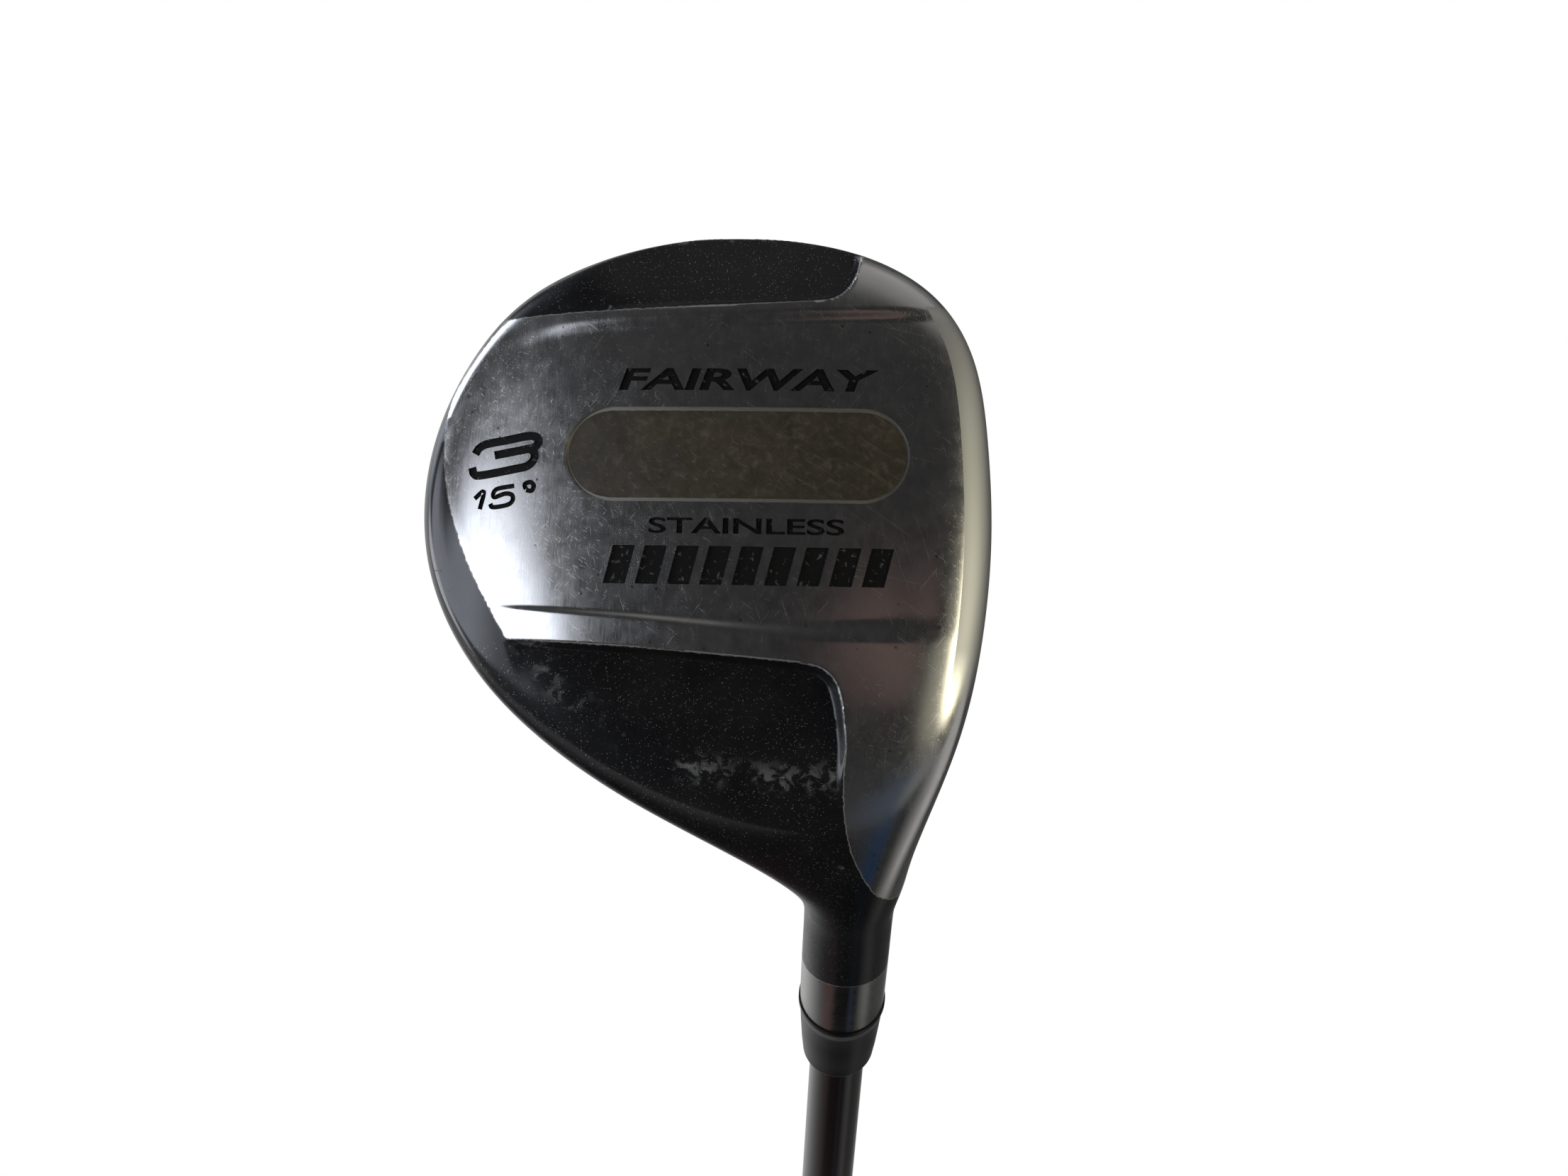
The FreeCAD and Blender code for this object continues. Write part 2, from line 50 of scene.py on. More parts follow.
# The club stands on its grip with the shaft upright. The head is worked out in its own axes,
# in millimetres: x to the target, y to the toe, up from the ground that the sole rests on.
hoselTop = Vector((0, 0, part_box("ferrule")[1][2]))
headAxes = {"lie": 57.0, "hoselEnd": 65.0}
turn = math.radians(90 - headAxes["lie"])
ground = hoselTop + Vector((0, 0, headAxes["hoselEnd"] * mm))
toClub = Matrix.Translation(ground) @ Matrix.Rotation(turn, 4, "X") @ Matrix.Diagonal((mm, mm, -mm, 1))


# small helpers

def only(piece):
    bpy.ops.object.select_all(action="DESELECT")
    piece.select_set(True)
    bpy.context.view_layer.objects.active = piece


def applied(piece, kind, **values):
    only(piece)
    modifier = piece.modifiers.new(kind.title(), kind)
    for key, value in values.items():
        setattr(modifier, key, value)
    bpy.ops.object.modifier_apply(modifier=modifier.name)
    return piece


def facesOutward(piece, merge=None):
    only(piece)
    bpy.ops.object.mode_set(mode="EDIT")
    bpy.ops.mesh.select_all(action="SELECT")
    if merge:
        bpy.ops.mesh.remove_doubles(threshold=merge)
    bpy.ops.mesh.normals_make_consistent(inside=False)
    bpy.ops.object.mode_set(mode="OBJECT")


def meshPiece(name, points, faces):
    mesh = bpy.data.meshes.new(name)
    mesh.from_pydata([tuple(p) for p in points], [], faces)
    piece = bpy.data.objects.new(name, mesh)
    scene.collection.objects.link(piece)
    return piece


def smoothStep(t):
    t = np.clip(t, 0.0, 1.0)
    return t * t * (3 - 2 * t)


def rise(t, start, end):
    # from nought at the start to one at the end
    return smoothStep((t - start) / (end - start))


def softMax(a, b, blend):
    # the larger of two, with a rounded change from one to the other
    return np.maximum(a, b) + np.maximum(blend - abs(a - b), 0) ** 2 / (4 * blend)


# the head's skin

headShape = {
    # place, trailing edge, leading edge, then heights: trailing edge, sole, crown, face top
    "stations": [
        (77.2, -22.1, -12.0, 15.0, 9.5, 21.0, 19.0),
        (76.2, -32.0, -2.6, 14.5, 6.0, 26.0, 24.0),
        (69.9, -47.4, 9.6, 13.5, 3.0, 31.5, 28.5),
        (60.0, -55.7, 15.8, 13.0, 1.3, 35.5, 32.0),
        (48.0, -61.1, 17.4, 13.0, 0.4, 38.0, 34.0),
        (36.0, -62.4, 18.2, 13.0, 0.0, 38.5, 34.5),
        (25.0, -60.3, 17.6, 13.0, 0.1, 38.0, 33.5),
        (14.0, -54.0, 16.0, 13.0, 0.8, 36.5, 32.0),
        (5.0, -44.6, 13.5, 13.0, 2.0, 34.5, 29.5),
    ],
    # the same on planes turned about a point over the heel, by degrees
    "neck": [
        (16.0, -33.5, 10.6, 13.5, 3.2, 32.0, 27.5),
        (32.0, -16.2, 8.2, 14.0, 4.8, 28.0, 24.0),
        (46.0, -8.6, 8.1, 14.0, 6.5, 23.5, 21.0),
        (57.0, -7.0, 6.8, 14.0, 7.25, 20.75, 18.0),
    ],
    "roundness": [0.6, 0.3, 0, 0, 0, 0, 0, 0, 0, 0.26, 0.51, 1.0, 1.0],
    "toeTip": (-19.0, 15.0),
    "neckPivot": (5.0, 40.0),
    "camber": 185.0,
    "bulge": 280.0,
    "roll": 280.0,
    "loft": 15.0,
    "faceCentre": 36.0,
    "hoselRadius": 6.75,
    "hoselRows": [(34.0, 0.1), (40.0, 0.1), (52.0, 0.0), (65.0, 0.0)],
    "columns": 18,
}


def sectionPoints(place, back, front, backHeight, sole, crown, faceTop):
    chord = front - back
    faceHeight = faceTop - sole
    rise = crown - backHeight
    low = front - 0.24 * chord
    slope = math.tan(math.radians(headShape["loft"]))
    widest = 20.3 - (place - headShape["faceCentre"]) ** 2 / (2 * headShape["bulge"])
    foot = min(widest, front + 0.6)

    def onSole(share, lift=0.0):
        across = back + share * chord
        return across, sole + (across - low) ** 2 / (2 * headShape["camber"]) + lift

    def onFace(share):
        up = sole + share * faceHeight
        return foot - (up - sole - 5.0) * slope - (up - 18.0) ** 2 / (2 * headShape["roll"]), up

    topEdge = onFace(1.0)[0] - 1.2
    return np.array([
        onSole(0.68), onSole(0.84), onSole(0.945, 0.2),
        (front + 0.9, sole + 0.085 * faceHeight + 0.8),
        onFace(0.27), onFace(0.50), onFace(0.75),
        (onFace(0.97)[0] + 0.3, onFace(0.97)[1]),
        (topEdge - 0.07 * chord, faceTop + 0.8 * (crown - faceTop)),
        (topEdge - 0.22 * chord, crown),
        (topEdge - 0.42 * chord, crown - 0.03 * rise),
        (back + 0.34 * chord, backHeight + 0.80 * rise),
        (back + 0.13 * chord, backHeight + 0.47 * rise),
        (back - 0.005 * chord, backHeight + 0.16 * rise),
        (back - 0.005 * chord, backHeight - 0.28 * (backHeight - sole)),
        onSole(0.045, 0.06 * (backHeight - sole)), onSole(0.20, -0.3), onSole(0.44),
    ])


def ovalPoints(across, up, halfWidth, halfHeight):
    turns = np.radians(-85 + 360 * np.arange(headShape["columns"]) / headShape["columns"])
    reach = 3 / (2 + math.cos(2 * math.pi / headShape["columns"]))
    return np.stack([across + reach * halfWidth * np.cos(turns), up + reach * halfHeight * np.sin(turns)], 1)


def headControl():
    rows = []
    pivotY, pivotUp = headShape["neckPivot"]
    tipX, tipUp = headShape["toeTip"]
    rows.append(np.tile((tipX, headShape["stations"][0][0], tipUp), (headShape["columns"], 1)))
    for index, station in enumerate(headShape["stations"] + headShape["neck"]):
        onHead = index < len(headShape["stations"])
        place, back, front, backHeight, sole, crown, faceTop = station
        plain = sectionPoints(place if onHead else headShape["faceCentre"], *station[1:])
        oval = ovalPoints((back + front) / 2, (sole + crown) / 2, (front - back) / 2, (crown - sole) / 2)
        share = headShape["roundness"][index]
        flat = (1 - share) * plain + share * oval
        if onHead:
            rows.append(np.stack([flat[:, 0], np.full(len(flat), place), flat[:, 1]], 1))
        else:
            a = math.radians(place)
            drop = pivotUp - flat[:, 1]
            rows.append(np.stack([flat[:, 0], pivotY - drop * math.sin(a), pivotUp - drop * math.cos(a)], 1))
    lie = math.radians(headAxes["lie"])
    for distance, waist in headShape["hoselRows"]:
        radius = headShape["hoselRadius"] - waist
        flat = ovalPoints(0, 0, radius, radius)
        y = -math.cos(lie) * distance + math.sin(lie) * flat[:, 1]
        up = math.sin(lie) * distance + math.cos(lie) * flat[:, 1]
        rows.append(np.stack([flat[:, 0], y, up], 1))
    return np.array(rows)


def rowWeights(count, places):
    knots = np.concatenate([np.zeros(3), np.linspace(0, 1, count - 2), np.ones(3)])
    places = np.clip(places, 0, 1 - 1e-9)
    weights = ((knots[:-1] <= places[:, None]) & (places[:, None] < knots[1:])).astype(float)
    for order in range(1, 4):
        upper = np.zeros((len(places), weights.shape[1] - 1))
        for k in range(weights.shape[1] - 1):
            before = knots[k + order] - knots[k]
            after = knots[k + order + 1] - knots[k + 1]
            if before > 0:
                upper[:, k] += (places - knots[k]) / before * weights[:, k]
            if after > 0:
                upper[:, k] += (knots[k + order + 1] - places) / after * weights[:, k + 1]
        weights = upper
    return weights


def columnWeights(count, places):
    span = np.floor(places * count).astype(int)
    f = places * count - span
    parts = [(1 - f) ** 3, 3 * f ** 3 - 6 * f ** 2 + 4, -3 * f ** 3 + 3 * f ** 2 + 3 * f + 1, f ** 3]
    weights = np.zeros((len(places), count))
    for k, part in enumerate(parts):
        weights[np.arange(len(places)), (span + k - 1) % count] += part / 6
    return weights


def skinAt(control, us, vs):
    along = rowWeights(control.shape[0], us)
    around = columnWeights(control.shape[1], vs)
    return np.einsum("ur,vc,rck->uvk", along, around, control)


def evenlyBy(places, path, spacing):
    # places along a path so that neighbours are as far apart as the spacing asks for
    steps = np.linalg.norm(np.diff(path, axis=0), axis=1) / spacing[:-1]
    total = np.concatenate([[0], np.cumsum(steps)])
    return np.interp(np.linspace(0, total[-1], int(total[-1]) + 2), total, places)


# outlines on the sole, in plan

def roundedLine(points, closed=False, perSpan=14):
    # a smooth line through a few points
    p = np.array(points, float)
    ends = (p[-1:], p[:2]) if closed else (2 * p[:1] - p[1:2], 2 * p[-1:] - p[-2:-1])
    p = np.concatenate([ends[0], p, ends[1]])
    t = np.linspace(0, 1, perSpan, endpoint=False)[:, None]
    spans = []
    for a, b, c, d in zip(p, p[1:], p[2:], p[3:]):
        spans.append(0.5 * (2 * b + (c - a) * t + (2 * a - 5 * b + 4 * c - d) * t ** 2
                            + (3 * b - a - 3 * c + d) * t ** 3))
    spans.append(p[-2:-1])
    return np.concatenate(spans)


def insideBy(outline, x, y):
    # how far a point lies inside a closed outline, less than nothing outside it
    start = outline
    end = np.roll(outline, -1, 0)
    far = np.full(x.shape, 1e9)
    inside = np.zeros(x.shape, bool)
    for (ax, ay), (bx, by) in zip(start, end):
        length = (bx - ax) ** 2 + (by - ay) ** 2
        if length == 0:
            continue
        t = np.clip(((x - ax) * (bx - ax) + (y - ay) * (by - ay)) / length, 0, 1)
        far = np.minimum(far, (x - ax - t * (bx - ax)) ** 2 + (y - ay - t * (by - ay)) ** 2)
        if ay != by:
            inside ^= ((ay > y) != (by > y)) & (x < (bx - ax) * (y - ay) / (by - ay) + ax)
    return np.where(inside, 1, -1) * np.sqrt(far)


soleLines = {
    "toeRail": [(-54.0, 64.3), (-42.0, 65.0), (-20.5, 66.1), (-7.5, 66.8)],
    "toeCorner": [(-7.5, 66.8), (-4.6, 67.3), (-2.6, 68.8), (-1.3, 71.4), (-0.5, 75.5)],
    "trailing": [(-50.9, 64.4), (-56.8, 56.0), (-58.8, 49.9), (-58.6, 41.9), (-56.8, 34.3), (-53.8, 27.3),
                 (-49.3, 19.4)],
    "heelWall": [(-49.4, 19.4), (-33.4, 18.7), (-20.4, 17.8), (-8.8, 16.9)],
    "heelCorner": [(-8.8, 16.9), (-5.4, 16.1), (-3.3, 14.2), (-2.3, 11.0)],
    "heelSide": [(-2.3, 11.0), (-1.7, 5.5), (-1.9, 0.5), (-1.6, -4.5), (-0.4, -9.6), (1.6, -13.6)],
    "neckTip": [(1.6, -13.6), (3.6, -15.9), (6.0, -16.4), (9.0, -15.2)],
    "seamRim": 2.0,
    "seamEnd": -3.0,
    "toeFloor": [(-20.0, 66.0, 4.7), (-5.0, 66.0, 4.2), (-18.0, 76.5, 10.0)],
    "heelFloor": [(-46.5, 18.8, 6.5), (-28.8, 3.7, 4.7), (-4.3, 15.7, 4.2)],
}


def joined(*lines):
    return np.concatenate([roundedLine(line) if len(line) > 2 else np.array(line, float) for line in lines])


def floorAt(points, x, y):
    a, b, c = [np.array(p) for p in points]
    n = np.cross(b - a, c - a)
    return a[2] - (n[0] * (x - a[0]) + n[1] * (y - a[1])) / n[2]


lines = soleLines
toePocket = joined(lines["toeRail"], lines["toeCorner"], [(-0.5, 90), (-80, 90)], [(-80, 64.3), (-54, 64.3)])
heelPocket = joined(lines["heelWall"], lines["heelCorner"], lines["heelSide"],
                    [(1.6, -50), (-80, -50)], [(-80, 19.4), (-49.4, 19.4)])
bareSteel = joined(lines["trailing"], lines["heelWall"], lines["heelCorner"], lines["heelSide"],
                   lines["neckTip"], [(60, -15.2), (60, 90)], [(-0.5, 90), (-0.5, 75.5)],
                   lines["toeCorner"][::-1], lines["toeRail"][:0:-1])
rim = lines["seamRim"]
seamHeel = [(x + 0.3 * rim, y + rim) for x, y in lines["heelWall"][1:]]
solePlateLine = joined(lines["trailing"][:-1] + [(-48.4, 21.4)], [(-48.4, 21.4)] + seamHeel,
                       [seamHeel[-1], (-1.6, 16.4), (0.2, 11.0), (0.4, 5.5), (0.1, lines["seamEnd"])],
                       [(60, lines["seamEnd"]), (60, 66.5)],
                       [(-5.7, 65.1), (-20.5, 64.1), (-42.0, 63.0), (-50.4, 62.4)])
print("outlines of the sole drawn")

# the skin as one fine grid

grid = {"fine": 0.24, "side": 0.26, "toe": 0.35, "edge": 0.55, "plain": 0.62, "neck": 0.7, "skirt": 0.8,
        "face": 1.4, "crown": 1.9}


def rowSpacing(path):
    y = path[:, 1]
    size = np.where(path[:, 2] > 16, grid["neck"], grid["plain"])
    size = np.where(y > 66, grid["toe"], size)
    for low, high in ((61.0, 66.1), (15.0, 24.8)):
        size = np.where((y > low) & (y < high), grid["fine"], size)
    return size


def columnSpacing(path):
    x = path[:, 0]
    up = path[:, 2]
    size = np.where(up < 12, grid["plain"], grid["crown"])
    size = np.where((up < 12) & (x > 8), grid["edge"], size)
    size = np.where((up >= 9) & (x > 8), grid["face"], size)
    size = np.where((up < 20) & (x < -52), grid["skirt"], size)
    return np.where((up < 12) & (x > -12) & (x < 5), grid["side"], size)


control = headControl()
manyU = np.linspace(0, 1, 4001)
manyV = np.linspace(0, 1, 4001)
solePath = skinAt(control, manyU, np.array([0.92]))[:, 0]
us = evenlyBy(manyU, solePath, rowSpacing(solePath))[1:]
middleRow = manyU[np.argmin(abs(solePath[:, 1] - 22.0))]
ringPath = skinAt(control, np.array([middleRow]), manyV % 1.0)[0]
vs = evenlyBy(manyV, ringPath, columnSpacing(ringPath))[:-1]


def skinEach(placesU, placesV):
    # the skin at a place of its own for every point of the grid
    along = rowWeights(control.shape[0], placesU.reshape(-1)).reshape(*placesU.shape, -1)
    around = columnWeights(control.shape[1], placesV.reshape(-1) % 1.0).reshape(*placesV.shape, -1)
    return np.stack([((along @ control[..., k]) * around).sum(2) for k in range(3)], 2)


# rows that become the rail and the heel wall, the part of the path before the neck, the row that the
# heel wall's side is found on, and the least change along a row that a column may be moved by
follow = {"railRow": 65.7, "wallRow": 18.0, "straight": 2600, "sideRow": 4.0, "steep": 20}


def followLines(points):
    # bends the grid so that its rows run along the pockets' walls and its columns along the heel wall's side
    x, y = points[..., 0], points[..., 1]
    rail = np.array(soleLines["toeRail"] + [(12.0, 67.6)])
    crest = np.array(soleLines["heelWall"] + [(12.0, 15.6)])
    nearRail = rise(y, 50, 60) * (1 - rise(y, 68, 75))
    nearWall = rise(y, 6, 14) * (1 - rise(y, 24, 34))
    wanted = y + nearRail * (np.interp(x, *rail.T) - follow["railRow"])
    wanted = wanted + nearWall * (np.interp(x, *crest.T) - follow["wallRow"])
    straight = solePath[:follow["straight"], 1]
    order = np.argsort(straight)
    placesU = np.interp(wanted, straight[order], manyU[:follow["straight"]][order])
    placesU = np.where(nearRail + nearWall > 0, placesU, np.broadcast_to(us[:, None], x.shape))
    side = np.array(soleLines["heelSide"][::-1])
    sideX = np.interp(y[:, 0], side[:, 1], side[:, 0])
    soleColumn = int(np.argmin(abs(vs - 0.9)))
    at = np.argmin(abs(y[:, soleColumn] - follow["sideRow"]))
    fromSide = abs(x[at] - np.interp(follow["sideRow"], side[:, 1], side[:, 0]))
    nearest = int(np.argmin(np.where(points[at, :, 2] < 9, fromSide, 1e9)))
    pull = rise(y, 15, 8) * rise(y, -26, -13) * rise(points[..., 2], 17, 9)
    gap = (sideX - x[:, nearest])[:, None] * pull
    slope = np.gradient(x, axis=1) / np.gradient(vs)[None]
    reach = 1 - rise(abs(x - x[:, nearest:nearest + 1]), 2, 11)
    placesV = vs[None] + gap * reach / np.where(abs(slope) > follow["steep"], slope, np.inf)
    return placesU, placesV


skin = skinAt(control, us, vs)
skin = skinEach(*followLines(skin))
tip = skinAt(control, np.array([0.0]), np.array([0.0]))[0, 0]
print("skin grid", skin.shape)


def gridNormals(points):
    along = np.gradient(points, axis=0)
    wrapped = np.concatenate([points[:, -1:], points, points[:, :1]], 1)
    around = (wrapped[:, 2:] - wrapped[:, :-2])
    normal = np.cross(around, along)
    return normal / np.maximum(np.linalg.norm(normal, axis=2, keepdims=True), 1e-9)


plainNormals = gridNormals(skin)
x, y, up = skin[..., 0], skin[..., 1], skin[..., 2]
if plainNormals[len(us) // 2, np.argmin(up[len(us) // 2]), 2] > 0:
    plainNormals = -plainNormals
facesDown = plainNormals[..., 2] < -0.12
inHead = up < 24

wall = {"start": -0.05, "toeWidth": 0.8, "heelWidth": 1.25, "toeBlend": 1.2, "softRidge": 2.2}
toeIn = insideBy(toePocket, x, y)
heelIn = insideBy(heelPocket, x, y)
toeDrop = smoothStep((toeIn - wall["start"]) / wall["toeWidth"]) * (
    softMax(up, floorAt(lines["toeFloor"], x, y), wall["toeBlend"]) - up)
heelDrop = smoothStep((heelIn - wall["start"]) / wall["heelWidth"]) * (
    softMax(up, floorAt(lines["heelFloor"], x, y), wall["softRidge"]) - up)
heelDrop = heelDrop * rise(x, -50.6, -46.6)

panel = {"depth": 0.6, "toeTop": 0.9, "toeFoot": 3.1, "railWidens": 2.2, "frontFade": (3.0, 15.0),
         "backFade": 24.0}
railY = np.interp(x, *np.array(lines["toeRail"] + [(15.0, 67.6)]).T)
railFoot = panel["toeFoot"] + panel["railWidens"] * rise(x, -38, -54)
toeSide = rise(railY - y, panel["toeTop"], railFoot)
creaseY = np.interp(x, [-52, -31.9, -20.1, -7.1, 9.5], [24.2, 23.5, 22.8, 22.5, 23.6])
creaseWidth = np.interp(x, [-52, -40, -20, 5], [0.6, 0.9, 1.7, 4.0])
heelSide = rise(y, creaseY - creaseWidth, creaseY)
frontFade = 1 - rise(x, *panel["frontFade"])
ahead = joined([(-40, 95), (-44, 80)], lines["trailing"], [(-44, 5), (-38, -10)],
               [(60, -10), (60, 95)])
backFade = 1 - (1 - np.clip((insideBy(ahead, x, y) - 0.3) / panel["backFade"], 0, 1)) ** 2
sunk = panel["depth"] * toeSide * heelSide * frontFade * backFade
drop = np.where(facesDown & inHead, toeDrop + heelDrop + sunk, 0.0)
shaped = skin - 0.03 * plainNormals  # a hair inside the solid head
shaped[..., 2] += drop

# how far a point is inside bare steel, in millimetres, less than nothing under paint
bareIn = insideBy(bareSteel, x, y)
steelEdge = {"y": [-60, -17.5, -15.8, 8, 20, 60, 68, 78], "up": [0, 15, 25, 28.5, 32.5, 31.0, 25, 14]}
hoselBand = {"along": 50.7, "slant": 2.6}
frontIn = np.minimum(np.interp(y, steelEdge["y"], steelEdge["up"]) - up, x + 1.0)
bare = np.where(plainNormals[..., 2] < -0.05, bareIn, np.where(plainNormals[..., 0] > 0.1, frontIn, -4.0))
lie = math.radians(headAxes["lie"])
hoselAlong = up * math.sin(lie) - y * math.cos(lie)
hoselOff = (y * math.sin(lie) + up * math.cos(lie)) / headShape["hoselRadius"]
bandIn = hoselAlong - hoselBand["along"] - hoselBand["slant"] * np.clip(hoselOff, -1, 1)
bare = np.maximum(bare, bandIn)
soleSeam = insideBy(solePlateLine, x, y)
print("sole fields worked out")

faceLine = roundedLine([(8.0, -6.0), (8.5, 12.0), (12.0, 19.0), (22.0, 23.5), (34.0, 26.0), (47.0, 26.5),
                        (58.0, 24.0), (64.5, 18.0), (66.5, 9.0), (66.5, -6.0)])
loftAngle = math.radians(headShape["loft"])
upFace = (up - 5.0) * math.cos(loftAngle) - (x - 18.2) * math.sin(loftAngle)
roof = np.interp(x, [-80, -40, 6, 13, 40], [17, 12.5, 6, 6, 13.3]) - up
soleField = np.where(plainNormals[..., 2] < 0.5, np.minimum(soleSeam, roof), -3.0)
faceField = np.where(plainNormals[..., 0] > 0.3, np.minimum(insideBy(faceLine, y, upFace), -soleField), -3.0)

rowsCount, columnsCount = skin.shape[:2]
points = np.concatenate([shaped.reshape(-1, 3), tip[None]])
inset = 4.0  # added to distances so that the stored values are never less than nothing
ridge = floorAt(lines["heelFloor"], x, y) - up
blastedIn = np.minimum(insideBy(faceLine, y, upFace), np.maximum(upFace - 2.5, (y - 15) / 40))
blasted = np.where(plainNormals[..., 0] > 0.3, inset + blastedIn, 0.0)
fields = {}
for name, values in (("paint", inset - bare), ("sole", soleField), ("face", faceField), ("blasted", blasted),
                     ("ridge", np.where(facesDown & inHead, inset - abs(ridge), 0)),
                     ("pocket", np.where(facesDown, np.maximum(heelIn, toeIn), 0)),
                     ("skirt", np.where(facesDown & inHead, rise(x, -50, -55), 0))):
    values = np.maximum(values, 0) if name not in ("sole", "face") else values
    fields[name] = np.concatenate([values.reshape(-1), [values[0].mean()]])

faces = []
for i in range(rowsCount - 1):
    for j in range(columnsCount):
        k = (j + 1) % columnsCount
        here, beyond = i * columnsCount, (i + 1) * columnsCount
        faces.append((here + j, here + k, beyond + k, beyond + j))
for j in range(columnsCount):
    faces.append((len(points) - 1, (j + 1) % columnsCount, j))
headSkin = meshPiece("headSkin", [toClub @ Vector(p) for p in points], faces)
print("head skin", len(points), "points")


def splitAlong(mesh, layer):
    # cuts the faces where a field passes through nought
    crossing = []
    for edge in mesh.edges:
        a, b = edge.verts
        if a[layer] * b[layer] < 0:
            crossing.append((edge, a, abs(a[layer]) / (abs(a[layer]) + abs(b[layer]))))
    cutPoints = []
    for edge, a, share in crossing:
        share = min(max(share, 0.03), 0.97)
        _, point = bmesh.utils.edge_split(edge, a, share)
        point[layer] = 0.0
        cutPoints.append(point)
    bmesh.ops.connect_verts(mesh, verts=cutPoints)


def cutHead():
    mesh = bmesh.new()
    mesh.from_mesh(headSkin.data)
    mesh.verts.ensure_lookup_table()
    layers = {name: mesh.verts.layers.float.new(name) for name in fields}
    for name, layer in layers.items():
        values = fields[name]
        for vert in mesh.verts:
            vert[layer] = values[vert.index]
    bmesh.ops.recalc_face_normals(mesh, faces=mesh.faces)
    for name in ("sole", "face"):
        splitAlong(mesh, layers[name])
    for face in mesh.faces:
        soleMean = sum(v[layers["sole"]] for v in face.verts)
        faceMean = sum(v[layers["face"]] for v in face.verts)
        face.material_index = 1 if soleMean > 0 else 2 if faceMean > 0 else 0
        face.smooth = True
    mesh.to_mesh(headSkin.data)
    mesh.free()


cutHead()


def pieceOf(name, index):
    # one of the head's pieces, cut out of the whole skin
    mesh = bmesh.new()
    mesh.from_mesh(headSkin.data)
    others = [face for face in mesh.faces if face.material_index != index]
    bmesh.ops.delete(mesh, geom=others, context="FACES")
    for face in mesh.faces:
        face.material_index = 0
    data = bpy.data.meshes.new(name)
    mesh.to_mesh(data)
    mesh.free()
    piece = bpy.data.objects.new(name, data)
    scene.collection.objects.link(piece)
    return piece


bodyCasting = pieceOf("bodyCasting", 0)
solePlate = pieceOf("solePlate", 1)
facePlate = pieceOf("facePlate", 2)
skinTree = BVHTree.FromObject(headSkin, bpy.context.evaluated_depsgraph_get())
bpy.data.objects.remove(headSkin)
walls = {bodyCasting: 0.9, solePlate: 1.55, facePlate: 2.1}  # thicknesses in millimetres
for piece, thickness in walls.items():
    applied(piece, "SOLIDIFY", thickness=thickness * mm, offset=-1, use_even_offset=False)
    print(piece.name, len(piece.data.polygons), "faces")

# marks cut into the plates

fromClub = toClub.inverted()
intoHead = (toClub.to_3x3() @ Vector((0, 0, 1))).normalized()


def soleHeight(x, y):
    hit = skinTree.ray_cast(toClub @ Vector((x, y, -30)), intoHead)[0]
    return (fromClub @ hit).z


def ontoSole(x, y):
    return x, y, soleHeight(x, y)


def ontoFace(y, up):
    start = toClub @ Vector((60, y, up))
    ahead = (toClub.to_3x3() @ Vector((-1, 0, 0))).normalized()
    hit = skinTree.ray_cast(start, ahead)[0]
    return tuple(fromClub @ hit)


def closedBetween(name, first, second, faces):
    # a closed mesh of two sheets with the same faces and a wall round their rims
    count = len(first)
    edges = dict.fromkeys((a, b) for face in faces for a, b in zip(face, face[1:] + face[:1]))
    built = [tuple(face) for face in faces]
    built += [tuple(k + count for k in face[::-1]) for face in faces]
    built += [(b, a, a + count, b + count) for a, b in edges if (b, a) not in edges]
    return meshPiece(name, first + second, built)


def prism(name, outline, faces, settle, into, depth, lift, index, wider=None):
    # a cutter with a floor at one depth under the skin and a lid above it
    floor = [toClub @ (Vector(settle(*p)) + depth * into) for p in outline]
    lid = [toClub @ (Vector(settle(*p)) - lift * into) for p in wider or outline]
    piece = closedBetween(name, floor, lid, faces)
    for face in list(piece.data.polygons)[:len(faces) if wider else None]:
        face.material_index = index
    facesOutward(piece)
    return piece


def lettering(text, left, right, low, high, slant, weight):
    # an outline of generic text, fitted to a box in plan
    bpy.ops.object.select_all(action="DESELECT")
    bpy.ops.object.text_add()
    words = bpy.context.object
    words.data.body = text
    words.data.offset = weight
    words.data.resolution_u = 5
    bpy.ops.object.convert(target="MESH")
    only(words)
    bpy.ops.object.mode_set(mode="EDIT")
    bpy.ops.mesh.select_all(action="SELECT")
    bpy.ops.mesh.remove_doubles(threshold=0.0005)
    bpy.ops.object.mode_set(mode="OBJECT")
    flat = np.array([v.co[:2] for v in words.data.vertices])
    faces = [list(p.vertices) for p in words.data.polygons]
    lowest, highest = flat.min(0), flat.max(0)
    fit = (flat - lowest) / (highest - lowest)
    tall = high - low
    across = left + fit[:, 0] * (right - left - slant * tall) + slant * tall * fit[:, 1]
    upward = low + fit[:, 1] * tall
    bpy.data.objects.remove(words)
    return list(zip(across, upward)), faces


def stroke(path, wide):
    # a band of even width along a smooth path, in plan
    line = roundedLine(path, perSpan=6)
    run = np.gradient(line, axis=0)
    run /= np.linalg.norm(run, axis=1, keepdims=True)
    aside = np.stack([-run[:, 1], run[:, 0]], 1) * wide / 2
    outline = [tuple(p) for pair in zip(line + aside, line - aside) for p in pair]
    return outline, [[2 * k, 2 * k + 1, 2 * k + 3, 2 * k + 2] for k in range(len(line) - 1)]


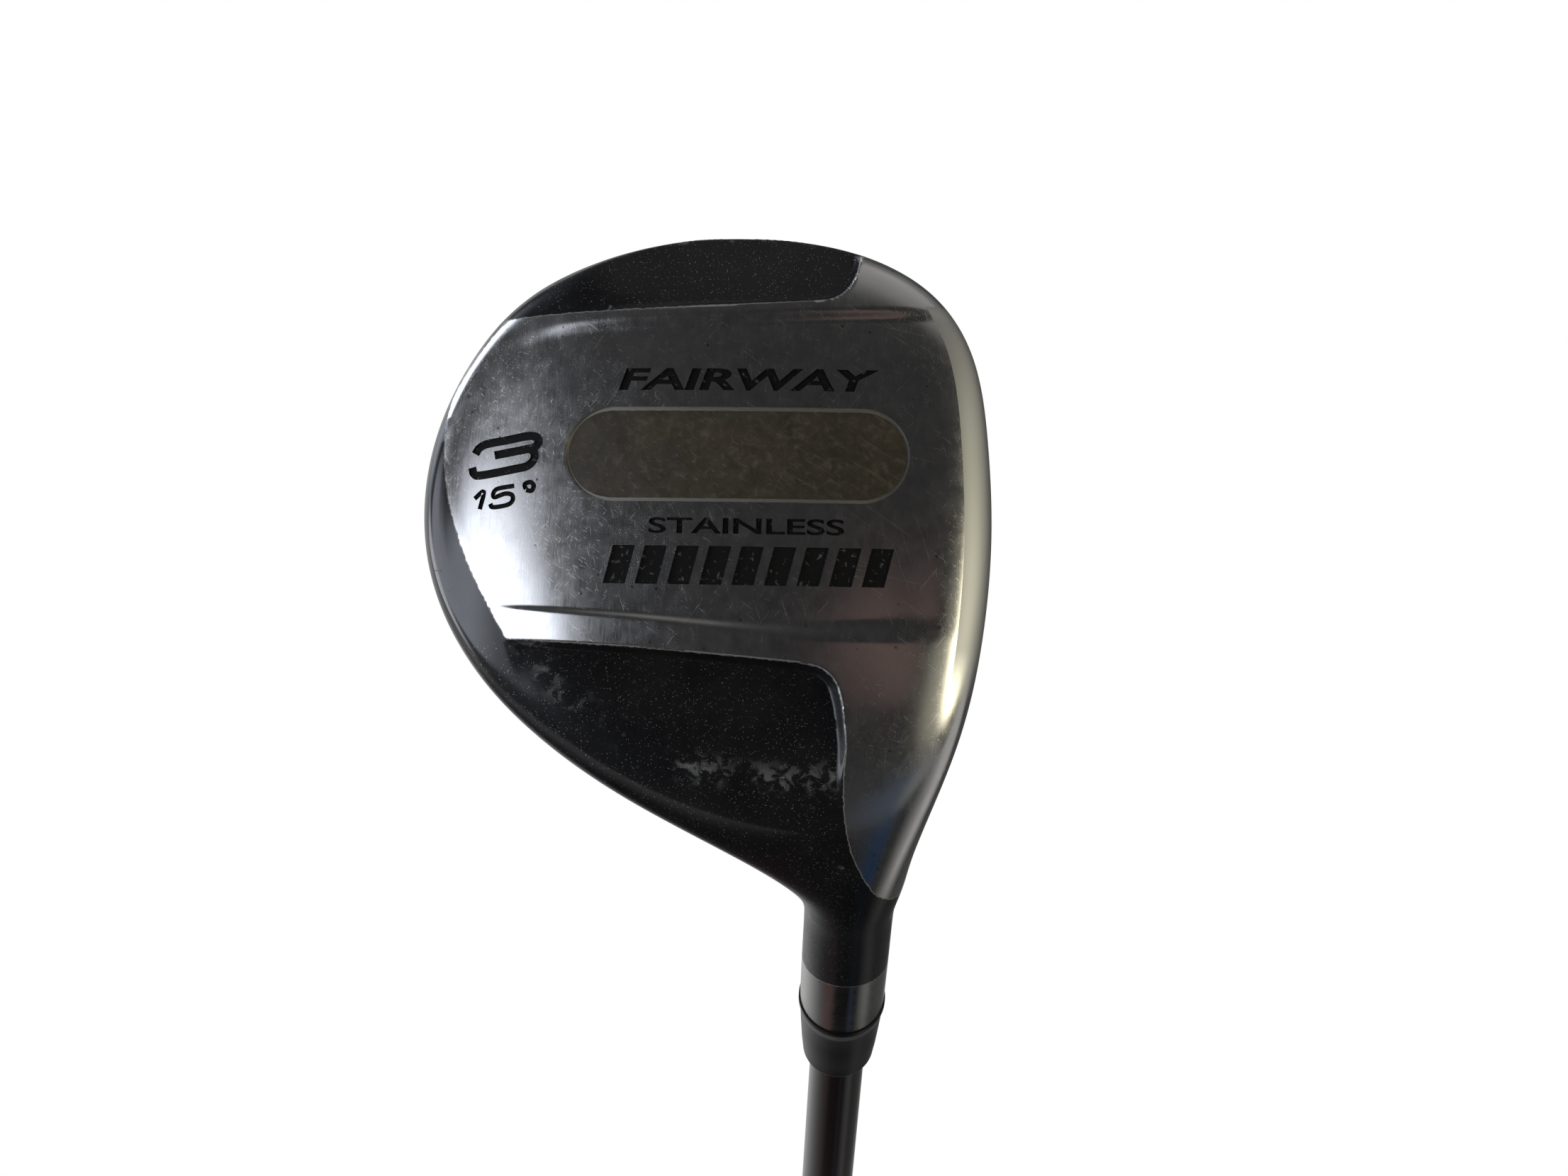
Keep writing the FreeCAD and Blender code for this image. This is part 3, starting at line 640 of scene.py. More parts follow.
marks = {
    "line": {"text": "FAIRWAY", "box": (-34.2, 1.8, 54.1, 57.2), "slant": 0.35, "weight": 0.03},
    "small": {"text": "STAINLESS", "box": (-29.5, -2.6, 34.2, 36.4), "slant": 0.0, "weight": 0.018},
    "numberWide": 1.0,
    "number": [[(-54.4, 45.2), (-53.9, 46.0), (-52.8, 46.6), (-50.0, 47.1), (-46.8, 47.7), (-45.6, 47.5),
                (-45.3, 46.8), (-45.9, 46.1), (-47.2, 45.8), (-51.6, 45.0)],
               [(-46.6, 45.9), (-45.9, 45.4), (-45.9, 44.4), (-46.8, 43.5), (-48.4, 43.1), (-53.4, 42.2),
                (-54.5, 42.4), (-54.8, 43.3)]],
    "loftWide": 0.66,
    "loft": [[(-54.3, 38.9), (-53.0, 39.9), (-53.5, 37.4)],
             [(-48.6, 40.7), (-51.2, 40.2), (-51.5, 39.1), (-49.9, 39.6), (-48.9, 39.4), (-48.8, 38.6),
              (-49.6, 38.0), (-51.6, 37.7), (-52.0, 38.2)],
             [(-46.9, 40.2), (-47.1, 40.9), (-46.3, 41.2), (-45.8, 40.7), (-46.1, 40.0), (-46.9, 40.1)]],
    "depth": 0.3, "lift": 2.0, "low": 0.15, "flare": 0.28,  # flare widens a cut at the skin
    "bars": {"first": -35.6, "count": 9, "pitch": 4.45, "wide": 2.9, "low": 27.3, "high": 32.4, "lean": 1.3},
}
upInHead = Vector((0, 0, 1))  # from the ground into the sole
cutters = []
for key in ("line", "small"):
    mark = marks[key]
    outline, faces = lettering(mark["text"], *mark["box"], mark["slant"], mark["weight"])
    cutters.append(prism(key, outline, faces, ontoSole, upInHead, marks["depth"], marks["lift"], 1))
for key, wide in (("number", marks["numberWide"]), ("loft", marks["loftWide"])):
    for path in marks[key]:
        outline, faces = stroke(path, wide)
        wider = stroke(path, wide + marks["flare"])[0] if key == "number" else None
        cutters.append(prism(key, outline, faces, ontoSole, upInHead, marks["depth"], marks["low"], 1, wider))
bars = marks["bars"]
for k in range(bars["count"]):
    x0 = bars["first"] + k * bars["pitch"]
    corners = [(x0, bars["low"]), (x0 + bars["wide"], bars["low"]),
               (x0 + bars["wide"] + bars["lean"], bars["high"]), (x0 + bars["lean"], bars["high"])]
    half = marks["flare"] / 2
    wider = [(px + dx * half, py + dy * half) for (px, py), (dx, dy) in
             zip(corners, ((-1, -1), (1, -1), (1, 1), (-1, 1)))]
    cutters.append(prism("bar", corners, [[0, 1, 2, 3]], ontoSole, upInHead, marks["depth"], marks["low"], 1,
                         wider))

badge = {"centre": (-17.6, 45.2), "length": 47.6, "width": 13.2, "depth": 0.5, "film": 0.15, "margin": 0.4,
         "bevel": 0.28, "bevelDepth": 0.05}


def slotStrips(grow, rows=1, columns=90):
    # points and faces that fill the badge's slot, in plan
    half = badge["length"] / 2 - badge["width"] / 2
    radius = badge["width"] / 2 + grow
    outline, faces = [], []
    for k in range(columns + 1):
        across = -math.cos(math.pi * k / columns) * (half + radius)
        past = max(abs(across) - half, 0)
        tall = math.sqrt(max(radius ** 2 - past ** 2, 1e-4))
        for r in range(rows + 1):
            outline.append((badge["centre"][0] + across, badge["centre"][1] + tall * (2 * r / rows - 1)))
    for k in range(columns):
        for r in range(rows):
            a = k * (rows + 1) + r
            faces.append([a, a + rows + 1, a + rows + 2, a + 1])
    return outline, faces


def cutBy(piece, cutter):
    before = len(piece.data.polygons)
    applied(piece, "BOOLEAN", object=cutter, operation="DIFFERENCE", solver="MANIFOLD")
    if len(piece.data.polygons) == before:
        print(piece.name, "was not cut by", cutter.name)
    bpy.data.objects.remove(cutter)


for grow, depth, index in ((0.0, badge["depth"], 2), (badge["bevel"], badge["bevelDepth"], 0)):
    outline, faces = slotStrips(grow)
    cutters.append(prism("seat", outline, faces, ontoSole, upInHead, depth, marks["lift"], index))
for cutter in cutters:
    cutBy(solePlate, cutter)
print("sole marks cut", len(solePlate.data.polygons))

grooves = {"count": 7, "first": 6.4, "pitch": 3.6, "wide": 0.8, "deep": 0.35, "heel": 17.0, "toe": 57.0,
           "steps": 20, "lift": 1.2}
for k in range(grooves["count"]):
    low = grooves["first"] + k * grooves["pitch"] * math.cos(loftAngle)
    outline, faces = [], []
    for n in range(grooves["steps"] + 1):
        along = grooves["heel"] + (grooves["toe"] - grooves["heel"]) * n / grooves["steps"]
        outline += [(along, low), (along, low + grooves["wide"])]
        if n:
            faces.append([2 * n - 2, 2 * n, 2 * n + 1, 2 * n - 1])
    cutBy(facePlate, prism("groove", outline, faces, ontoFace, Vector((-1, 0, 0)), grooves["deep"],
                           grooves["lift"], 1))
print("face grooves cut", len(facePlate.data.polygons))

for piece in walls:
    only(piece)
    bpy.ops.object.shade_smooth_by_angle(angle=math.radians(40))


def badgeFilm():
    # aged adhesive on the seat, thin, with a ragged edge
    rows, columns = 26, 150
    outline, faces = slotStrips(-badge["margin"], rows, columns)
    outline = np.array(outline)
    ragged = 0.22 * np.sin(outline[:, 0] * 1.7) * np.sin(outline[:, 0] * 0.9 + 2)
    ragged = ragged + 0.1 * np.sin(outline[:, 0] * 6.1)
    share = np.abs(outline[:, 1] - badge["centre"][1]) / (badge["width"] / 2)
    pull = 1 - (0.02 + 0.03 * abs(ragged)) * rise(share, 0.6, 1.0)
    outline[:, 1] = badge["centre"][1] + (outline[:, 1] - badge["centre"][1]) * pull
    wavy = 0.012 * np.sin(outline[:, 0] * 0.8 + outline[:, 1] * 0.7)
    heights = np.array([soleHeight(*p) for p in outline]) + badge["depth"]
    top = np.concatenate([outline, (heights - badge["film"] + 0.04 + wavy)[:, None]], 1)
    foot = np.concatenate([outline, heights[:, None] - 0.002], 1)
    piece = closedBetween("badgeFilm", [toClub @ Vector(p) for p in top],
                          [toClub @ Vector(p) for p in foot], faces)
    facesOutward(piece)
    bpy.ops.object.shade_smooth_by_angle(angle=math.radians(50))
    return piece


badgeAdhesive = badgeFilm()

# round pieces on the shaft's axis

# millimetres: butt and tip are diameters, the bores radii, the others places along the axis from the butt
shaftSizes = {"butt": 15.2, "tip": 8.9, "parallel": 250.0, "hosel": 1027.0, "start": 4.5, "end": 1063.0,
              "buttBore": 6.5, "tipBore": 2.6}
steps = 128  # around a turned piece


def shaftRadius(z):
    size = shaftSizes
    share = (z - size["parallel"]) / (size["hosel"] - size["parallel"])
    return (size["butt"] + min(max(share, 0), 1) * (size["tip"] - size["butt"])) / 2


def spun(name, profile, angle=35):
    # turns a line of (radius, place) about the axis; the line may close on itself
    closed = profile[0] == profile[-1]
    line = profile[:-1] if closed else profile
    edges = [(k, k + 1) for k in range(len(line) - 1)] + ([(len(line) - 1, 0)] if closed else [])
    mesh = bpy.data.meshes.new(name)
    mesh.from_pydata([(r * mm, 0, z * mm) for r, z in line], edges, [])
    piece = bpy.data.objects.new(name, mesh)
    scene.collection.objects.link(piece)
    applied(piece, "SCREW", angle=math.tau, steps=steps, render_steps=steps, axis="Z",
            use_merge_vertices=True, merge_threshold=1e-6)
    facesOutward(piece, merge=1e-6)
    bpy.ops.object.shade_smooth_by_angle(angle=math.radians(angle))
    return piece


def arc(radius, place, bend, start, end, count=8):
    turns = [math.radians(start + (end - start) * k / count) for k in range(count + 1)]
    return [(radius + bend * math.cos(a), place + bend * math.sin(a)) for a in turns]


def shaftLine():
    # up the outside from the butt, then back down the bore
    size = shaftSizes
    outside = [(shaftRadius(z), z) for z in (size["start"], size["parallel"], size["hosel"], size["end"])]
    bore = [(size["tipBore"], size["end"]), (size["tipBore"], size["hosel"]),
            (size["buttBore"], size["parallel"]), (size["buttBore"], size["start"])]
    return outside + bore + outside[:1]


shaft = spun("shaft", shaftLine())

ferruleSizes = {"top": 1027.0, "end": 1006.0, "collar": 6.93, "rounding": 0.2, "gap": 0.25,
                "side": [(6.62, 1023.5), (6.42, 1018.0), (6.15, 1012.0)]}


def ferruleLine():
    size = ferruleSizes
    line = [(shaftRadius(size["top"]), size["top"]), (size["collar"], size["top"])]
    line += arc(6.75, 1026.0, size["rounding"], 0, -40, 4) + size["side"]
    line += arc(4.9, 1008.0, 0.98, 12, -62, 10)[1:]
    bore = shaftRadius(size["end"])
    line += [(bore + size["gap"], size["end"] + 0.08), (bore, size["end"])]
    return line + line[:1]


ferrule = spun("ferrule", ferruleLine(), 30)

capSizes = {"vent": 1.5, "neck": 13.5, "radius": 14.19, "rounding": 1.4, "thick": 4.5,
            "groove": [(8.6, 0.0), (9.0, 0.35), (9.6, 0.35), (10.0, 0.0)]}


def capLine():
    size = capSizes
    line = [(size["vent"], 0.25), (size["vent"] + 0.25, 0.0)] + size["groove"]
    line += arc(size["radius"] - size["rounding"], size["rounding"], size["rounding"], -90, 0)
    line += [(size["radius"], 3.6), (size["neck"], size["thick"]), (size["vent"], size["thick"])]
    return line + line[:1]


gripCap = spun("gripCap", capLine(), 30)


gripSizes = {"butt": 13.28, "shoulder": 12.38, "mouth": 9.08, "low": 4.5, "shoulderAt": 26.5,
             "taperEnd": 265.5, "high": 267.0, "deep": 0.32, "around": 200, "along": 620, "lanes": 18,
             "dashPitch": 5.2, "ringPitch": 4.6, "gap": 0.25}


def gripSleeve():
    # a long taper with rings at its mouth and rows of small moulded dashes between them
    size = gripSizes
    z = np.linspace(size["low"], size["high"], size["along"])[:, None]
    turnsAll = np.linspace(0, 2 * math.pi, size["around"], endpoint=False)[None]
    share = (z - size["shoulderAt"]) / (size["taperEnd"] - size["shoulderAt"])
    flare = size["butt"] - 0.9 * (z - size["low"]) / 22
    taper = size["shoulder"] - (size["shoulder"] - size["mouth"]) * share
    radius = np.where(share < 0, flare, taper) - rise(z, 263.5, 267.0)
    lanes = turnsAll * size["lanes"] / math.tau
    lane = np.abs(lanes % 1 - 0.5)
    dash = np.abs((z / size["dashPitch"] + np.floor(lanes) * 0.5) % 1 - 0.5)
    cut = rise(lane, 0.32, 0.22) * rise(dash, 0.33, 0.23) * (1 - rise(z, 236, 239)) * rise(z, 34, 37)
    ring = rise(np.abs((z / size["ringPitch"]) % 1 - 0.5), 0.36, 0.44) * rise(z, 240, 242)
    band = rise(np.abs(z - 27.5), 1.1, 0.6)
    radius = radius - size["deep"] * np.maximum(np.maximum(cut, ring * (1 - rise(z, 259, 261))), band)
    outer = np.stack([radius * np.cos(turnsAll), radius * np.sin(turnsAll), z + 0 * radius], 2)
    innerZ = np.array([size["high"], shaftSizes["parallel"], size["low"]])
    inner = np.array([shaftRadius(k) + size["gap"] for k in innerZ])[:, None]
    inside = np.stack([inner * np.cos(turnsAll), inner * np.sin(turnsAll), innerZ[:, None] + 0 * turnsAll], 2)
    rings = np.concatenate([outer, inside])
    total, around = rings.shape[:2]
    faces = []
    for i in range(total):
        n = (i + 1) % total
        for j in range(around):
            k = (j + 1) % around
            here, beyond = i * around, n * around
            faces.append((here + j, here + k, beyond + k, beyond + j))
    piece = meshPiece("gripSleeve", rings.reshape(-1, 3) * mm, faces)
    facesOutward(piece)
    bpy.ops.object.shade_smooth_by_angle(angle=math.radians(35))
    return piece


grip = gripSleeve()
print("round pieces made")

# camera, floor and light

# lens in millimetres, height and roll in degrees, the rest in metres from the ferrule's upper end
camera = {"lens": 48.0, "height": 54.0, "roll": 1.2, "distance": 0.3354, "aside": 0.0093, "above": 0.06522}


def placeCamera():
    high = math.radians(camera["height"])
    roll = math.radians(camera["roll"])
    back = Vector((0, -math.cos(high), math.sin(high)))
    upward = Vector((0, math.sin(high), math.cos(high)))
    right = Vector((1, 0, 0))
    rolledRight = math.cos(roll) * right + math.sin(roll) * upward
    rolledUp = math.cos(roll) * upward - math.sin(roll) * right
    place = hoselTop - camera["aside"] * rolledRight + camera["above"] * rolledUp + camera["distance"] * back
    data = bpy.data.cameras.new("viewCamera")
    data.lens = camera["lens"]
    data.sensor_width = 36
    data.clip_start = 0.01
    viewer = bpy.data.objects.new("viewCamera", data)
    scene.collection.objects.link(viewer)
    axes = Matrix((rolledRight, rolledUp, back)).transposed().to_4x4()
    viewer.matrix_world = Matrix.Translation(place) @ axes
    scene.camera = viewer
    return back, rolledRight, rolledUp


back, right, upward = placeCamera()

bpy.ops.mesh.primitive_plane_add(size=80, location=(0, 0, 0))
floor = bpy.context.object
floor.name = "studioFloor"

# the studio: a dim room with soft boxes, each by its angle from the camera's own direction, the way round
# from the right, its half width and how soft its rim is, in degrees
studio = {
    "room": [(0.0, 0.20), (0.5, 0.06), (0.70, 0.060), (0.86, 0.040), (0.97, 0.032), (1.0, 0.030)],
    "boxes": [
        {"away": 47, "round": 180, "half": 12, "rim": 6, "color": (0.92, 0.99, 1.12), "strength": 3.0},
        {"away": 36, "round": -20, "half": 4, "rim": 18, "color": (1.04, 1.01, 0.80), "strength": 0.34},
        {"away": 87, "round": 152, "half": 12, "rim": 15, "color": (0.90, 0.99, 1.16), "strength": 3.0},
        {"away": 76, "round": 187, "half": 9, "rim": 10, "color": (0.97, 1.0, 1.06), "strength": 5.5},
        {"away": 50, "round": -8, "half": 8, "rim": 10, "color": (1.06, 1.0, 0.74), "strength": 4.8},
        {"away": 76, "round": 8, "half": 22, "rim": 18, "color": (1.05, 1.0, 0.72), "strength": 0.38},
        {"away": 76, "round": 72, "half": 18, "rim": 22, "color": (1.03, 1.0, 0.96), "strength": 0.26},
        {"away": 47, "round": -67, "half": 3, "rim": 9, "color": (0.2, 0.5, 1.0), "strength": 0.07},
        {"away": 60, "round": -48, "half": 6, "rim": 12, "color": (0.95, 1.0, 1.02), "strength": 0.15},
        {"away": 7, "round": -26, "half": 5, "rim": 5, "color": (1.0, 0.6, 0.54), "strength": 0.13},
        {"away": 118, "round": -20, "half": 14, "rim": 24, "color": (1.0, 1.0, 0.98), "strength": 1.6},
    ],
}
world = bpy.data.worlds.new("studioWorld")
world.use_nodes = True
scene.world = world


def lightWorld():
    nodes = world.node_tree.nodes
    links = world.node_tree.links
    background = nodes["Background"]
    where = nodes.new("ShaderNodeTexCoord").outputs["Generated"]

    def toward(direction):
        dot = nodes.new("ShaderNodeVectorMath")
        dot.operation = "DOT_PRODUCT"
        dot.inputs[1].default_value = direction
        links.new(where, dot.inputs[0])
        return dot.outputs["Value"]

    ramp = nodes.new("ShaderNodeValToRGB")
    while len(ramp.color_ramp.elements) < len(studio["room"]):
        ramp.color_ramp.elements.new(0.5)
    for element, (place, value) in zip(ramp.color_ramp.elements, studio["room"]):
        element.position = place
        element.color = (value * 0.98, value, value * 1.03, 1)
    links.new(toward(back), ramp.inputs["Fac"])
    total = ramp.outputs["Color"]
    for box in studio["boxes"]:
        away, spin = math.radians(box["away"]), math.radians(box["round"])
        sideways = math.cos(spin) * right + math.sin(spin) * upward
        amount = nodes.new("ShaderNodeMapRange")
        amount.interpolation_type = "SMOOTHERSTEP"
        outer, inner = box["half"] + box["rim"], max(box["half"] - 0.3 * box["rim"], 0)
        amount.inputs["From Min"].default_value = math.cos(math.radians(outer))
        amount.inputs["From Max"].default_value = math.cos(math.radians(inner))
        links.new(toward(math.cos(away) * back + math.sin(away) * sideways), amount.inputs["Value"])
        scaled = nodes.new("ShaderNodeVectorMath")
        scaled.operation = "MULTIPLY_ADD"
        scaled.inputs[1].default_value = [c * box["strength"] for c in box["color"]]
        links.new(amount.outputs["Result"], scaled.inputs[0])
        links.new(total, scaled.inputs[2])
        total = scaled.outputs["Vector"]
    # plain white where the camera sees past the floor
    seen = nodes.new("ShaderNodeMix")
    seen.data_type = "RGBA"
    seen.inputs[7].default_value = (1, 1, 1, 1)
    links.new(nodes.new("ShaderNodeLightPath").outputs["Is Camera Ray"], seen.inputs[0])
    links.new(total, seen.inputs[6])
    links.new(seen.outputs[2], background.inputs["Color"])


lightWorld()

# materials


class Tree:
    # short ways to add nodes
    def __init__(self, tree):
        self.nodes = tree.nodes
        self.links = tree.links

    def node(self, kind, inputs=None, **values):
        made = self.nodes.new("ShaderNode" + kind)
        for key, value in values.items():
            setattr(made, key, value)
        for key, value in (inputs or {}).items():
            self.feed(made.inputs[key], value)
        return made

    def feed(self, socket, value):
        if isinstance(value, bpy.types.NodeSocket):
            self.links.new(value, socket)
        else:
            socket.default_value = value

    def math(self, operation, a, b=0.0):
        return self.node("Math", {0: a, 1: b}, operation=operation).outputs[0]

    def ramp(self, value, low, high, lowTo=0.0, highTo=1.0):
        return self.node("MapRange", {"Value": value, "From Min": low, "From Max": high, "To Min": lowTo,
                                      "To Max": highTo}).outputs[0]

    def mix(self, share, a, b):
        made = self.node("Mix", data_type="RGBA")
        for socket, value in ((made.inputs[0], share), (made.inputs[6], a), (made.inputs[7], b)):
            if isinstance(value, tuple) and len(value) == 3:
                value = (*value, 1)
            self.feed(socket, value)
        return made.outputs[2]

    def mixValue(self, share, a, b):
        return self.node("Mix", {0: share, 2: a, 3: b}).outputs[0]

    def field(self, name):
        return self.node("Attribute", attribute_name=name).outputs["Fac"]

    def place(self, turn=(0, 0, 0), scale=(1, 1, 1)):
        # the head's own axes in millimetres, turned and stretched
        where = self.node("TexCoord").outputs["Object"]
        square = self.node("Mapping", {"Vector": where, "Rotation": (-math.radians(33), 0, 0),
                                       "Scale": (1000, 1000, 1000)}).outputs[0]
        turned = self.node("Mapping", {"Vector": square, "Rotation": turn}).outputs[0]
        return self.node("Mapping", {"Vector": turned, "Scale": scale}).outputs[0]

    def noise(self, scale, detail=2.0, vector=None, distortion=0.0):
        return self.node("TexNoise", {"Vector": vector or self.place(), "Scale": scale, "Detail": detail,
                                      "Distortion": distortion}).outputs["Fac"]

    def bump(self, height, distance, strength=1.0):
        return self.node("Bump", {"Height": height, "Distance": distance, "Strength": strength}).outputs[0]


def newGroup(name, inputs, outputs):
    # an empty group with named sockets, the way to add to it, and both its ends
    tree = bpy.data.node_groups.new(name, "ShaderNodeTree")
    for inOut, sockets in (("INPUT", inputs), ("OUTPUT", outputs)):
        for key, kind in sockets.items():
            tree.interface.new_socket(name=key, in_out=inOut, socket_type="NodeSocket" + kind)
    given = tree.nodes.new("NodeGroupInput").outputs
    out = tree.nodes.new("NodeGroupOutput").inputs
    return tree, Tree(tree), given, out


def scratchGroup():
    # sparse thin scratches at an angle
    tree, made, given, out = newGroup("scratches", {"Vector": "Vector", "Angle": "Float", "Long": "Float",
                                                    "Thin": "Float", "Low": "Float", "High": "Float"},
                                      {"Mask": "Float"})
    turned = made.node("CombineXYZ", {"Z": given["Angle"]}).outputs[0]
    size = made.node("CombineXYZ", {"X": given["Long"], "Y": given["Thin"], "Z": given["Thin"]}).outputs[0]
    drawn = made.node("Mapping", {"Vector": given["Vector"], "Rotation": turned}).outputs[0]
    drawn = made.node("Mapping", {"Vector": drawn, "Scale": size}).outputs[0]
    made.feed(out["Mask"], made.ramp(made.noise(1.0, 1.0, drawn), given["Low"], given["High"]))
    return tree


def grainGroup():
    # a little change in a colour, and the same grain as a normal
    tree, made, given, out = newGroup("fineGrain", {"Vector": "Vector", "Scale": "Float", "Dark": "Color",
                                                    "Light": "Color", "Strength": "Float"},
                                      {"Color": "Color", "Normal": "Vector"})
    cloud = made.noise(given["Scale"], 3.0, given["Vector"])
    made.feed(out["Color"], made.mix(cloud, given["Dark"], given["Light"]))
    made.feed(out["Normal"], made.bump(cloud, 0.00002, given["Strength"]))
    return tree


groups = {"scratches": scratchGroup(), "fineGrain": grainGroup()}


class Look(Tree):
    # a material
    def __init__(self, name, color=(0.5, 0.5, 0.5), rough=0.4, metal=0.0, coat=0.0, coatRough=0.08):
        self.material = bpy.data.materials.new(name)
        self.material.use_nodes = True
        super().__init__(self.material.node_tree)
        self.shader = self.nodes["Principled BSDF"]
        for key, value in (("Base Color", (*color, 1)), ("Roughness", rough), ("Metallic", metal),
                           ("Coat Weight", coat), ("Coat Roughness", coatRough)):
            self.shader.inputs[key].default_value = value

    def streaks(self, angle, long, thin, low, high):
        return self.node("Group", {"Vector": self.place(), "Angle": math.radians(angle), "Long": long,
                                   "Thin": thin, "Low": low, "High": high},
                         node_tree=groups["scratches"]).outputs["Mask"]

    def finish(self, **sockets):
        for key, value in sockets.items():
            self.feed(self.shader.inputs[key.replace("_", " ")], value)
        return self.material


# the grey of the thin line along the paint's edge is partly wear and partly a painted highlight
steel = {"color": (0.54, 0.53, 0.52), "stain": (0.34, 0.31, 0.28), "scratch": (0.78, 0.78, 0.78),
         "pit": (0.06, 0.055, 0.05), "blasted": (0.42, 0.42, 0.42), "wornEdgeAndHighlight": (0.22, 0.21, 0.20),
         "scratches": ((-52, 0.02, 6.0, 0.68), (71, 0.03, 6.0, 0.69), (12, 0.02, 7.0, 0.70))}
paint = {"color": (0.006, 0.006, 0.007), "faded": (0.016, 0.016, 0.017), "hair": (0.05, 0.05, 0.052),
         "worn": (0.10, 0.10, 0.105), "flake": (0.55, 0.56, 0.58), "fill": (0.003, 0.003, 0.003),
         "bared": (0.16, 0.16, 0.16), "gloss": 0.15}
adhesive = {"color": (0.05, 0.035, 0.02), "dark": (0.028, 0.023, 0.014), "light": (0.043, 0.033, 0.019),
            "speck": (0.12, 0.095, 0.06), "scrape": (0.14, 0.12, 0.09)}


def steelParts(look):
    # brushed, scratched and stained steel: colour, roughness and height
    lengthwise = look.noise(1.0, 3.0, look.place((0, 0, math.radians(3)), (9.0, 0.35, 0.35)))
    swirl = look.noise(1.0, 2.0, look.place((0, 0, math.radians(-38)), (0.25, 6.0, 6.0)))
    broad = look.noise(0.09, 3.0, distortion=0.6)
    blot = look.noise(0.5, 4.0, distortion=0.4)
    scratch = look.streaks(34, 0.02, 5.0, 0.66, 0.74)
    for angle, long, thin, low in steel["scratches"]:
        scratch = look.math("MAXIMUM", scratch, look.streaks(angle, long, thin, low, low + 0.06))
    scratch = look.math("MULTIPLY", scratch, look.ramp(broad, 0.40, 0.62, 0.35, 0.85))
    color = look.mix(look.ramp(broad, 0.45, 0.75, 0.0, 0.35), steel["color"], steel["stain"])
    color = look.mix(look.math("MULTIPLY", scratch, 0.35), color, steel["scratch"])
    pits = look.node("TexVoronoi", {"Vector": look.place(), "Scale": 0.30}).outputs["Distance"]
    color = look.mix(look.ramp(pits, 0.075, 0.045, 0.0, 0.6), color, steel["pit"])
    rough = look.math("ADD", look.ramp(lengthwise, 0.3, 0.7, 0.13, 0.19),
                      look.ramp(blot, 0.3, 0.7, 0.0, 0.06))
    rough = look.math("ADD", rough, look.math("MULTIPLY", scratch, 0.12))
    height = look.math("ADD", look.math("MULTIPLY", lengthwise, 0.6), look.math("MULTIPLY", swirl, 0.45))
    height = look.math("SUBTRACT", height, look.math("MULTIPLY", scratch, 0.5))
    return color, rough, height


def paintParts(look):
    # worn black paint: flakes in the pockets, scuffs along the ridge
    pocket = look.ramp(look.field("pocket"), 0.3, 1.4)
    cell = look.node("TexVoronoi", {"Vector": look.place(), "Scale": 6.5})
    bright = look.ramp(look.node("SeparateColor", {"Color": cell.outputs["Color"]}).outputs[0], 0.90, 0.99)
    flake = look.math("MULTIPLY", look.ramp(cell.outputs["Distance"], 0.36, 0.20), bright)
    flake = look.math("MULTIPLY", flake, look.ramp(pocket, 0, 1, 0.05, 1.0))
    near = look.ramp(look.field("ridge"), 3.1, 3.95)
    speckle = look.noise(0.55, 5.0, distortion=0.8)
    patches = look.noise(0.14, 2.0)
    scuff = look.math("MULTIPLY", near, look.ramp(speckle, 0.50, 0.60))
    scuff = look.math("MULTIPLY", scuff, look.ramp(patches, 0.45, 0.60))
    chips = look.math("MULTIPLY", look.ramp(look.noise(0.33, 6.0, distortion=1.0), 0.665, 0.70),
                      look.ramp(look.noise(0.07, 2.0), 0.52, 0.60))
    scuff = look.math("MAXIMUM", scuff, look.math("MULTIPLY", chips, 0.8))
    hair = look.streaks(24, 0.06, 7.0, 0.68, 0.74)
    hair = look.math("MAXIMUM", hair, look.streaks(-41, 0.06, 8.0, 0.69, 0.75))
    color = look.mix(look.ramp(patches, 0.4, 0.7, 0.0, 0.35), paint["color"], paint["faded"])
    color = look.mix(look.math("MULTIPLY", hair, 0.35), color, paint["hair"])
    color = look.mix(scuff, color, paint["worn"])
    color = look.mix(flake, color, paint["flake"])
    rough = look.math("ADD", look.ramp(speckle, 0.3, 0.7, 0.26, 0.36), look.math("MULTIPLY", scuff, 0.3))
    height = look.math("SUBTRACT", look.math("MULTIPLY", speckle, 0.25), look.math("MULTIPLY", scuff, 0.8))
    return color, rough, height, scuff, flake


